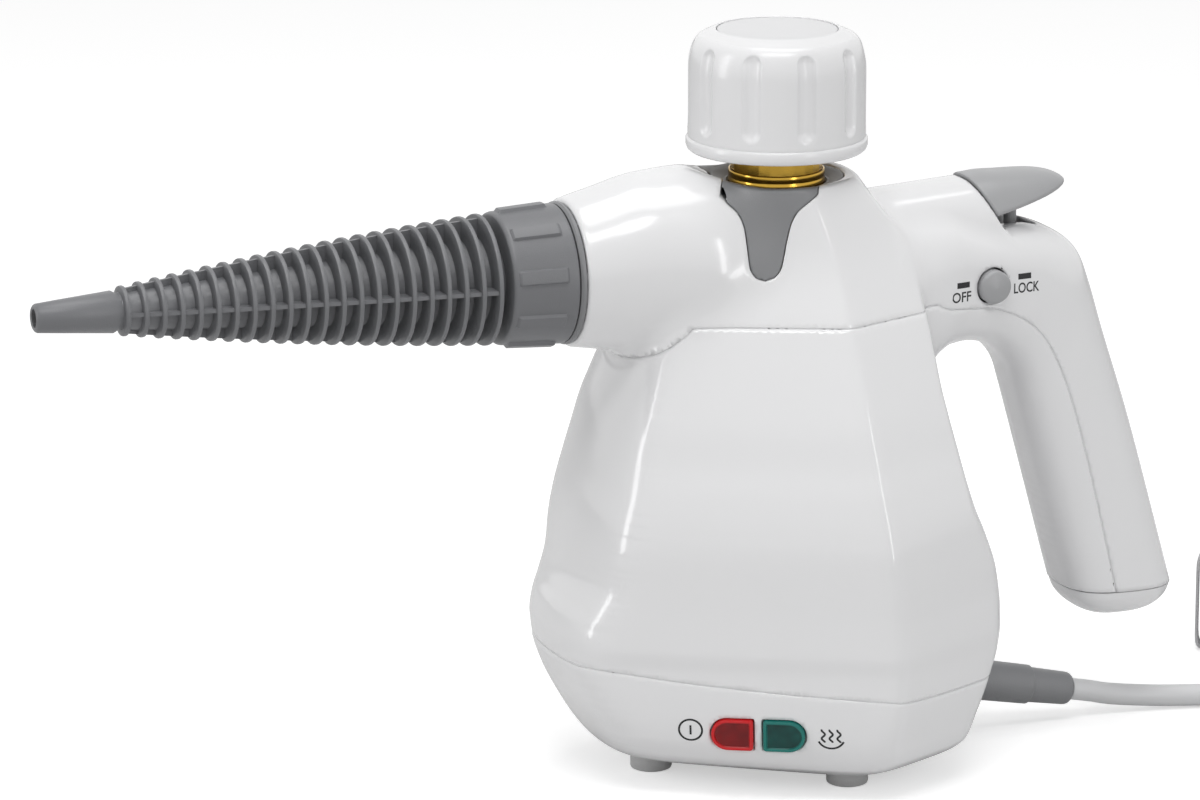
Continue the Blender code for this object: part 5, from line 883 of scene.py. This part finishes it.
# By the share of its length: the ovals' middle, height and width, as shares of TRIGGER_RISE and HOOD_HALF
TRIGGER = [(0, 0, 0.965, 1), (0.28, 0.05, 0.96, 0.99), (0.5, 0.19, 0.82, 0.94), (0.72, 0.38, 0.62, 0.78)]
TRIGGER = np.array([*TRIGGER, (0.86, 0.55, 0.41, 0.57), (0.95, 0.67, 0.22, 0.34), (1, 0.73, 0.08, 0.12)])
TRIGGER_RISE = 21.0
TRIGGER_BOX = ((50, -18, 154), (99, 18, 181))
PIVOT = (56.0, 160.0)


def trigger_field(x, y, z):
    """The beak, cut off along the hood's mouth and hollow where the rod ends, with a tongue down to the
    eye that turns on the pin."""
    centre, crown, width = np.moveaxis(columns_at(TRIGGER, (x - 55.0) / 42.0), -1, 0)
    wide, tall = width * HOOD_HALF, crown * TRIGGER_RISE
    norm = squircle(y / wide, (z - HOOD_Z - centre * TRIGGER_RISE) / tall, HOOD_POWER)
    skin = np.maximum((norm - 1) * np.minimum(wide, tall), x - 97.0)
    under = 167.6 + (x - 68.06) * 6.6 / 28.94
    skin = both(skin, (under - z) * 0.97, 1.6)
    skin = both(skin, 0.25 - rake_side(x, z), 0.8)
    skin = both(skin, -(np.hypot(x - ROD_X, y) - 1.2) - 40.0 * (z > 171.5), 0.3)
    tongue = np.maximum(np.maximum(np.abs(y) - 3.0, 163.5 - z), np.maximum(54.0 - x, x - 70.0))
    tongue = np.maximum(np.maximum(tongue, rake_side(x, z) - 3.0), z - 173.0)
    from_pin = np.hypot(x - PIVOT[0], z - PIVOT[1])
    eye = np.maximum(from_pin - 3.6, np.abs(y) - 3.0)
    inner = np.maximum(join(tongue, eye, 1.5), 1.7 - from_pin)
    return np.minimum(skin, inner)


skinned("trigger_skin", trigger_field, *TRIGGER_BOX, CELL * 0.55, LIGHT_GREY, "trigger", "trigger_lever")
knob = [(0.05, 20.7), (3.6, 20.45), (5.2, 19.6), (5.2, -23.2), (4.6, -23.9), (0.05, -24.9)]
knob = rounded(knob, [0, 6, 0.8, 0.5, 5, 0])[::-1] * (1, -1)
knob = lathe("lock_knob", knob, LIGHT_GREY, "lock", (LOCK_AT, (0, -1, 0)), 72, smooth=40)
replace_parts(knob, "lock_pin")


# Filler cap, its disc and the neck's thread

FLUTE_TURN = math.radians(36)
FLUTE_START = math.radians(51)


def flutes(t, r, h):
    """Ten finger grooves: each is a capsule of radius 4.2 whose line follows the wall 2.75 mm outside it."""
    apart = (t - FLUTE_START + FLUTE_TURN / 2) % FLUTE_TURN - FLUTE_TURN / 2
    line = r + 2.75
    past = np.maximum(202.0 - h, 0) + np.maximum(h - 222.6, 0) * 1.1
    left = 17.6 - past**2 - (line * np.sin(apart)) ** 2
    reach = np.where(left > 0, line * np.cos(apart) - np.sqrt(np.maximum(left, 0)), 40.0)
    return np.where(r > 20, join(r, np.minimum(reach, 40.0), 0.35) - r, 0.0)


CAP = [(18.75, 227.9), (18.75, 229.2), (19.0, 229.4), (19.6, 229.25), (21.7, 228.3)]
CAP += [(22.3 + 5.1 * math.sin(a), 217.0 + 10.8 * math.cos(a)) for a in np.linspace(0.1, math.pi / 2, 34)]
CAP += [(27.4, z) for z in np.linspace(216.4, 197.0, 38)]
CAP += [(27.4, 196.3), (27.3, 196.1), (27.45, 195.9), (27.8, 195.7), (28.0, 195.4), (28.0, 193.6)]
CAP += [(27.6, 192.5), (26.9, 191.9), (26.0, 191.7), (25.6, 192.2), (25.6, 206.0), (19.4, 210.0)]
CAP += [(19.4, 192.4), (18.35, 192.4), (18.35, 222.0), (5.0, 224.5), (5.0, 227.7), (18.45, 227.7)]
cap = lathe("cap_skin", CAP, CAP_WHITE, "cap", steps=720, wave=flutes, smooth=40, closed=True)
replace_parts(cap, "cap_shell")
DISC = [(0.05, 229.55), (8.0, 229.5), (14.0, 229.4), (18.0, 229.25), (18.45, 229.1), (18.5, 228.8)]
DISC += [(18.4, 228.0), (0.05, 228.0)]
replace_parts(lathe("cap_disc", DISC, DISC_WHITE, "cap", steps=128, smooth=50), "cap_top_disc")


def thread():
    """A low wedge's four corners carried up a helix round the neck, 3 mm a turn. Its crest fades at both
    ends."""
    t = np.linspace(0, 4.6 * TURN, 480)
    crest = 14.0 + 0.5 * np.minimum(1, np.minimum(t, t[-1] - t) / 1.2)
    z = 190.4 + 3.0 * t / TURN
    corners = ((14.0, -0.9), (crest, 0.0), (14.0, 0.9), (13.6, 0.0))
    points = [np.stack([r * np.cos(t), r * np.sin(t), z + rise], axis=1) for r, rise in corners]
    faces = grid_faces(len(t), 4).tolist() + [cap[::-1] for cap in end_caps(len(t), 4)]
    piece("neck_thread", np.stack(points, axis=1).reshape(-1, 3), faces, BRASS, "housing", smooth=60)


thread()
FLANGE = [(14.3, 1.5), (14.75, 1.4), (14.9, 1.1), (14.9, -0.1), (14.7, -0.5), (14.7, -0.9)]
FLANGE += [(14.95, -1.2), (14.95, -2.6), (14.8, -2.9), (14.3, -2.9)]
flange = [(r, SHOULDER + h) for r, h in FLANGE]
lathe("neck_flange", flange, BRASS, "housing", steps=144, smooth=40, closed=True)
BED = [(22.2, -3.4), (22.2, -5.0), (15.6, -5.0), (15.6, -2.3), (20.0, -2.3)]
lathe("trim_bed", [(r, SHOULDER + h) for r, h in BED], TRIM_GREY, "housing", closed=True)


# Nozzle: ringed cone, its ribs, the collar with its pads, and the ring on the housing

NOZZLE_AXIS = ((0, 0, NOZZLE_Z), (-1, 0, 0))
RINGS = 22


def rim_and_core(share):
    """Radius of the rims, and of the core between them, by the share of the way back along the cone."""
    return 7.6 + 12.5 * share + 4.2 * share * (1 - share), 5.6 + 7.6 * share


def cone_profile():
    """From the tip back: 22 thin rims, their edges rounded, on a core that widens evenly."""
    out = [(2.8, 226.0), (2.8, 237.2), (3.2, 237.5), (3.5, 237.5), (4.1, 237.1), (4.4, 236.6)]
    out += [(5.0, 230.0), (6.4, 213.5)]
    for k in range(RINGS):
        share = k / (RINGS - 1)
        h = 210.1 - 113.0 * share
        rim, core = rim_and_core(share)
        out += [(core, h + 1.9), (core + 0.1, h + 0.95)]
        out += [(rim - 0.45, h + 0.75), (rim - 0.12, h + 0.62), (rim, h + 0.3)]
        out += [(rim, h - 0.3), (rim - 0.12, h - 0.62), (rim - 0.45, h - 0.75)]
        out += [(core + 0.25, h - 0.95), (core + 0.1, h - 1.9)]
    return [*out, (12.2, 94.6), (12.2, 76.0), (9.0, 76.0), (9.0, 90.0), (1.4, 100.0), (1.4, 226.0)]


cone = lathe("cone_skin", cone_profile(), GREY, "nozzle", NOZZLE_AXIS, 112, smooth=38, closed=True)
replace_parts(cone, "nozzle_cone")


def ribs():
    """Four thin plates along the cone, from its core nearly out to its rims."""
    share = np.linspace(0, 1, 30)
    rim, core = rim_and_core(share)
    high, low, half = rim - 0.9, core - 0.6, 0.6
    faces = grid_faces(len(share), 4)[:, ::-1].tolist() + end_caps(len(share), 4)
    plates = []
    for k in range(4):
        a = k * math.pi / 2
        out, side = np.array([0, math.sin(a), math.cos(a)]), np.array([0, math.cos(a), -math.sin(a)])
        edges = ((low, -half), (high, -half), (high, half), (low, half))
        points = np.stack([r[:, None] * out + s * side for r, s in edges], axis=1)
        points[..., 0] = 113.4 * share[:, None] - 210.5
        plates.append((points.reshape(-1, 3) + NOZZLE_AXIS[0], faces))
    piece("cone_ribs", *gathered(plates), GREY, "nozzle", smooth=30)


ribs()

PAD_TURN = math.radians(40)
PAD_START = math.radians(-78.5)


def pads(t, r, h):
    """Nine raised pads round the collar, 15.6 by 4.8 and 1 high, with sloped edges."""
    apart = ((t - PAD_START + PAD_TURN / 2) % PAD_TURN - PAD_TURN / 2) * 21.0
    edge = join(2.4 - np.abs(apart), 7.8 - np.abs(h - 83.8), 0.5)
    return np.where(r > 19.0, ramp(-0.05, 0.6, edge), 0.0)


COLLAR = [(12.6, 91.0), (12.6, 92.7), (13.0, 93.2), (19.2, 93.2), (19.8, 93.0), (20.25, 92.5), (20.42, 91.9)]
COLLAR += [(20.42 + 1.06 * k / 60, 91.9 - 18.9 * k / 60) for k in range(1, 61)]
COLLAR += [(21.4, 72.7), (21.2, 72.5), (17.9, 72.5), (17.5, 72.9), (17.5, 90.0), (16.9, 90.6)]
collar = lathe("collar_skin", COLLAR, GREY, "nozzle", NOZZLE_AXIS, 720, wave=pads, smooth=38, closed=True)
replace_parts(collar, "nozzle_collar")
RING = [(16.0, 71.6), (16.5, 72.1), (21.3, 72.1), (21.9, 71.5), (21.9, 70.6), (21.6, 70.3)]
RING += [(16.3, 70.3), (16.0, 70.6)]
ring = lathe("ring_skin", RING, TRIM_GREY, "housing", NOZZLE_AXIS, 144, smooth=38, closed=True)
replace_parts(ring, "outlet_ring")


# Handle's end cap, feet, strain relief, plug


def loft(name, centre, across, up, power, finish, body, sides=64):
    """Superellipses from row to row, closed at both ends: point = centre + a across + b up, with
    |a| ** power + |b| ** power = 1. `across` x `up` points back along the rows."""
    t = np.arange(sides) / sides * TURN
    a, b = (np.sign(c) * np.abs(c) ** (2 / power) for c in (np.cos(t), np.sin(t)))
    points = centre[:, None] + a[:, None] * across[:, None] + b[:, None] * up[:, None]
    faces = grid_faces(len(centre), sides)[:, ::-1].tolist() + end_caps(len(centre), sides)
    return piece(name, points.reshape(-1, 3), faces, finish, body, smooth=35)


END_CAP = [(0, 0.985), (0.08, 0.975), (0.3, 0.93), (0.65, 0.77), (0.9, 0.52), (1.0, 0.26), (1.02, 0.02)]
rows = np.linspace(0, 1.0, 34) ** 0.8
down = columns_at(np.array(END_CAP), rows)
centre = (115.55, 0, 43.1) - np.outer(rows, (0, 0, 9.8))
side, up = down * (0, 18.0, 0), down * (18.0 * 1.003, 0, 0)
end_cap = loft("end_cap_skin", centre, side, up, GRIP_POWER, WHITE, "housing", 96)
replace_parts(end_cap, "handle_end_cap")

PAD = [(0.05, 2.2), (6.2, 2.2), (6.5, 1.6), (6.5, -1.5), (6.25, -2.05), (5.7, -2.3)]
PAD += [(1.0, -2.3), (0.05, -2.3)]
for spot, (x, y) in {"front": (-41, 0), "near": (10, -36.3), "far": (10, 36.3), "rear": (34, 0)}.items():
    foot = lathe(f"foot_{spot}_skin", PAD, FOOT, "housing", ((x, y, 0), (0, 0, 1)), 64)
    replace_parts(foot, f"foot_{spot}")

boot = [(0.05, 46.3), (5.2, 46.3), (5.65, 31.2), (6.25, 31.0), (6.7, 0.5), (6.7, -3.0), (0.05, -3.0)]
boot = rounded(boot, [0, 2.4, 0.3, 1.0, 5, 0.6, 0], 7)
relief = lathe("relief_skin", boot, BOOT_GREY, "housing", (RELIEF_AT, RELIEF_WAY), 96, smooth=40)
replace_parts(relief, "strain_relief")


# Mains lead: one line from the relief through the coil to the plug

CORD = 7.0
COIL = (222.0, 30.0)
COIL_INNER = 28.0
COIL_SPREAD = 21.45
COIL_START = math.radians(-100)
COIL_LOW = 2.6
LAYERS = 4
LAYER_TURNS = 2.75
LAYER_RISE = 7.8
TURN_POINTS = 24
TAIL_Z = 8.1


def coil_place(radius, turn, z):
    """The place at a radius and height, some turns on from the coil's start."""
    angle = COIL_START + TURN * turn
    return np.stack([COIL[0] + radius * np.cos(angle), COIL[1] + radius * np.sin(angle), z], axis=-1)


def coil_line():
    """Four layers that spiral out and in, r = inner + spread |1 - inward|, with a layer up at each
    reversal."""
    turn = np.arange(LAYERS * LAYER_TURNS * TURN_POINTS + 1) / TURN_POINTS
    layer = turn / LAYER_TURNS
    inward = np.abs((layer + 1) % 2 - 1)
    radius = COIL_INNER + COIL_SPREAD * np.abs(1 - inward)
    nearest = np.round(layer)
    climb = np.clip((layer - nearest) * LAYER_TURNS * 2 + 0.5, 0, 1)
    level = np.where(nearest == 0, 0, np.where(nearest >= LAYERS, LAYERS - 1, nearest - 1 + climb))
    return coil_place(radius, turn, COIL_LOW + level * LAYER_RISE)


def unit(v):
    return v / np.linalg.norm(v)


def run(route):
    """The lead's own way through a route: straight for one diameter at each end."""
    line = smooth_line(route, 16.0)
    return smooth_line([line[0], route[1], *line[1:-1], route[-2], line[-1]], 3.0)


turns = coil_line()
before, after = unit(turns[1] - turns[0]), unit(turns[-1] - turns[-2])
first, last = turns[0] - before * CORD, turns[-1] + after * CORD
relief_way = np.array(RELIEF_WAY)
relief_end = RELIEF_AT + relief_way * 46.6
joined = first - before * 0.3
lead = [relief_end, relief_end + relief_way * CORD, (124, 0.5, 2.9), (149, -4, 1.6), (178, -13.5, 1.6)]
lead += [joined - before * CORD, joined]
leave = last + after * 0.3
tail = [leave, leave + after * CORD]
for turn, share in ((0.09, 0.30), (0.14, 0.58), (0.19, 0.85), (0.23, 1.0)):
    z = leave[2] + (TAIL_Z - leave[2]) * share
    tail.append(coil_place(COIL_INNER + COIL_SPREAD + 20.0 * share, turn, z))
tail.append(tail[-1] + (0, CORD, 0))
coil_run = smooth_line(np.vstack([[first], turns, [last]]), 3.0)
LINE = np.vstack([run(lead), coil_run, run(tail)])
cord_data = bpy.data.curves.new("mains_lead", "CURVE")
cord_data.dimensions = "3D"
cord_data.bevel_depth = CORD / 2 * MM
cord_data.bevel_resolution = 6
cord_data.use_fill_caps = True
spline = cord_data.splines.new("POLY")
spline.points.add(len(LINE) - 1)
spline.points.foreach_set("co", np.column_stack([world(LINE), np.ones(len(LINE))]).ravel())
cord_data.materials.append(SHEATH)
mains = bpy.data.objects.new("mains_lead", cord_data)
bpy.context.scene.collection.objects.link(mains)
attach(mains, "housing")
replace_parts(mains, "cord_lead", "cord_coil", "cord_tail")

# By the place along the plug, in mm: its height and width, as shares of 10 and 13 mm each way
PLUG = [(0, 0.48, 0.38), (0.9, 0.49, 0.39), (17, 0.62, 0.50), (18.6, 0.68, 0.58), (21, 0.88, 0.80)]
PLUG = np.array([*PLUG, (27, 1, 0.98), (45.6, 1, 1), (47.2, 0.98, 0.98), (48.0, 0.92, 0.93)])
rows = np.linspace(0, 48, 90)
tall, wide = columns_at(PLUG, rows).T
ribbed = np.where((rows > 2) & (rows < 16), 0.25 * np.sin(rows * TURN / 2.6), 0)
centre = LINE[-1] + (0, 0.3, 0) + np.outer(rows, (0, 1, 0))
side, up = np.outer(wide * 13.0 + ribbed, (1, 0, 0)), np.outer(tall * 10.0 + ribbed, (0, 0, 1))
plug = loft("plug_skin", centre, side, up, 3.2, SHEATH, "housing")
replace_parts(plug, "plug_body")


# Marks: two words, two bars and two pictograms, laid on the skin


PROUD = 0.05


def laid(name, flat, faces, origin, along, up, out, field):
    """Flat points set on the skin: each is moved along `out` until the field is zero there, by halving the
    way, and then made a sheet 0.12 mm thick."""
    flat = np.asarray(flat, float)
    start = np.asarray(origin, float) + flat[:, :1] * along + flat[:, 1:2] * up
    low, high = np.full(len(flat), -7.0), np.full(len(flat), 7.0)
    for _ in range(30):
        middle = (low + high) / 2
        inside = field(*(start + middle[:, None] * out).T) < 0
        low, high = np.where(inside, middle, low), np.where(inside, high, middle)
    points = start + (high + PROUD)[:, None] * out
    back = points - 0.12 * out
    count = len(flat)
    edges = {}
    for face in faces:
        for a, b in zip(face, list(face[1:]) + [face[0]]):
            edges[(a, b)] = edges.get((a, b), 0) + 1
    rim = [[a, b, b + count, a + count][::-1] for a, b in edges if (b, a) not in edges]
    both_sides = [list(f) for f in faces] + [[i + count for i in f][::-1] for f in faces] + rim
    return piece(name, np.vstack([points, back]), both_sides, INK, "housing", smooth=30)


def word(text, size, narrow):
    """Outline letters' points and faces, about their middle, with long faces divided."""
    data = bpy.data.curves.new(text, "FONT")
    data.body, data.size, data.align_x, data.align_y = text, size, "CENTER", "CENTER"
    data.resolution_u, data.offset = 6, 0.012 * size
    thing = bpy.data.objects.new(text, data)
    mesh = bpy.data.meshes.new_from_object(thing)
    points = np.array([v.co[:2] for v in mesh.vertices]) * (narrow, 1)
    faces = [list(p.vertices) for p in mesh.polygons]
    bpy.data.objects.remove(thing)
    bpy.data.meshes.remove(mesh)
    return points, faces


def strip(line, width):
    """A flat strip of even width along a line, its points and faces."""
    line = np.asarray(line, float)
    ahead = np.gradient(line, axis=0)
    ahead /= np.linalg.norm(ahead, axis=1)[:, None]
    side = np.stack([-ahead[:, 1], ahead[:, 0]], axis=1) * width / 2
    points = np.stack([line + side, line - side], axis=1).reshape(-1, 2)
    return points, grid_faces(len(line), 2, around=False)[:, ::-1].tolist()


NEAR = (np.array([1.0, 0, 0]), np.array([0, 0, 1.0]), np.array([0, -1.0, 0]))
for text, narrow, x, z in (("OFF", 0.9, 52.4, 145.3), ("LOCK", 0.76, 75.9, 145.7)):
    points, faces = word(text, 4.5, narrow)
    laid(f"mark_{text.lower()}", points, faces, (x, -17, z), *NEAR, cover_field)
for name, x, z in (("mark_bar_off", 53.0, 149.2), ("mark_bar_lock", 75.3, 149.5)):
    line = np.stack([np.linspace(-2.3, 2.3, 24), np.zeros(24)], axis=1)
    laid(name, *strip(line, 1.8), (x, -17, z), *NEAR, cover_field)
FACET = (LAMP_ALONG, LAMP_UP, LAMP_OUT)
arc = np.linspace(0, TURN, 90)
power = [strip(np.stack([3.55 * np.cos(arc), 3.55 * np.sin(arc)], axis=1), 0.62)]
power.append(strip(np.stack([np.zeros(8), np.linspace(-1.6, 1.6, 8)], axis=1), 0.62))
laid("mark_power", *gathered(power), (-43.0, -38.4, 21.5), *FACET, base_field)
wave = np.linspace(-2.1, 2.4, 40)
steam = [strip(np.stack([x + 0.5 * np.sin(wave * 2.2), wave + 0.6], axis=1), 0.62) for x in (-2.4, 0.0, 2.4)]
bowl = np.linspace(math.radians(205), math.radians(335), 30)
steam.append(strip(np.stack([4.2 * np.cos(bowl), 4.2 * np.sin(bowl) + 0.6], axis=1), 0.62))
laid("mark_steam", *gathered(steam), (-4.9, -58.6, 20.3), *FACET, base_field)


# Finishes on the model's own nodes

SLOTS = {
    "white_shell": WHITE,
    "grey_plastic": GREY,
    "light_grey_plastic": LIGHT_GREY,
    "cord_sheath": SHEATH,
    "foot_pad": FOOT,
    "seal_rubber": SEAL,
    "tie_strap": STRAP,
    "terminal_plastic": DARK,
    "brass": BRASS,
    "aluminium": ALUMINIUM,
    "steel": STEEL,
    "red_glass": RED,
    "green_glass": GREEN,
    "circuit_board": BOARD,
}
for part in frame["record"]["subparts"]:
    mesh = frame["nodes"][part["node"]].data
    mesh.materials.clear()
    mesh.materials.append(SLOTS[part["material_slot"]])
# Finishes paired with the slot of the model's parts that they stand in for
ALSO = [("white_shell", CAP_WHITE), ("white_shell", DISC_WHITE)]
ALSO += [("grey_plastic", TRIM_GREY), ("light_grey_plastic", BOOT_GREY)]


# Camera, floor and light


def put_camera():
    """195 mm lens, 2.015 m from a point in the housing, 21 degrees to the left and 14.3 up."""
    data = bpy.data.cameras.new("camera")
    data.sensor_width = 36
    data.lens = 195
    data.clip_end = 20
    camera = bpy.data.objects.new("camera", data)
    bpy.context.scene.collection.objects.link(camera)
    turn, lift = math.radians(-21), math.radians(14.3)
    back = np.array([math.sin(turn) * math.cos(lift), -math.cos(turn) * math.cos(lift), math.sin(lift)])
    camera.location = world((-50.6, 19.4, 112.0)) + back * 2.015
    camera.rotation_euler = (math.pi / 2 - lift, 0, turn)
    bpy.context.scene.camera = camera


def shown_rays(f):
    """1 for rays from the camera, and for those that a gloss or glass sends on, else 0."""
    rays = [f.node("ShaderNodeLightPath", output=k) for k in (0, 3, 6)]
    return f.greater(rays[0], rays[1] + rays[2])


def put_world():
    """A pale room, which the camera, glosses and glass see as white."""
    room = bpy.data.worlds.new("room")
    f = Finish(room)
    shown = shown_rays(f)
    level = shown * (1.0 - ROOM_LEVEL) + ROOM_LEVEL
    shine = f.node("ShaderNodeBackground", {}, {"Color": colour(1, 1, 1), "Strength": level})
    f.node("ShaderNodeOutputWorld", {}, {0: shine})
    bpy.context.scene.world = room


def put_floor():
    """A pale floor which keeps the object's shadow: white for the camera, less where the shadow falls."""
    half = 6.0
    data = bpy.data.meshes.new("floor")
    corners = [(-half, -half, 0), (half, -half, 0), (half, half, 0), (-half, half, 0)]
    data.from_pydata(corners, [], [(0, 1, 2, 3)])
    f = finish_named("pale_floor")
    shown = f.node("ShaderNodeLightPath", output=0)
    lit = f.node("ShaderNodeBsdfDiffuse", {}, {"Color": colour(0.8, 0.8, 0.8)})
    glow = f.node("ShaderNodeEmission", {}, {"Color": colour(1, 1, 1), "Strength": shown * FLOOR_GLOW})
    both_shaders = f.node("ShaderNodeAddShader", {}, {0: lit, 1: glow})
    f.node("ShaderNodeOutputMaterial", {}, {0: both_shaders})
    data.materials.append(f.holder)
    floor = bpy.data.objects.new("floor", data)
    bpy.context.scene.collection.objects.link(floor)


def put_lamp(name, place, aim, wide, tall, power):
    """A rectangular light that faces a point."""
    data = bpy.data.lights.new(name, "AREA")
    data.shape = "RECTANGLE"
    data.size, data.size_y, data.energy = wide, tall, power
    lamp = bpy.data.objects.new(name, data)
    bpy.context.scene.collection.objects.link(lamp)
    back = np.array(place, float) - np.array(aim, float)
    back /= np.linalg.norm(back)
    lamp.location = place
    lamp.rotation_euler = (math.acos(back[2]), 0, math.atan2(back[0], -back[1]))


ROOM_LEVEL = 0.36
FLOOR_GLOW = 0.50
put_camera()
put_world()
put_floor()
put_lamp("key", (-0.35, -0.90, 1.85), (0.05, 0, 0.1), 1.1, 0.5, 10.5)
put_lamp("left_strip", (-1.80, 0.20, 0.45), (0.05, 0, 0.1), 0.34, 1.7, 9.0)
put_lamp("right_strip", (0.66, -1.75, 0.40), (0.05, 0, 0.1), 0.16, 1.5, 5.0)
put_lamp("top", (0.15, 0.1, 1.7), (0.05, 0, 0.1), 1.0, 0.8, 8.0)
bpy.context.scene.view_settings.view_transform = "Standard"
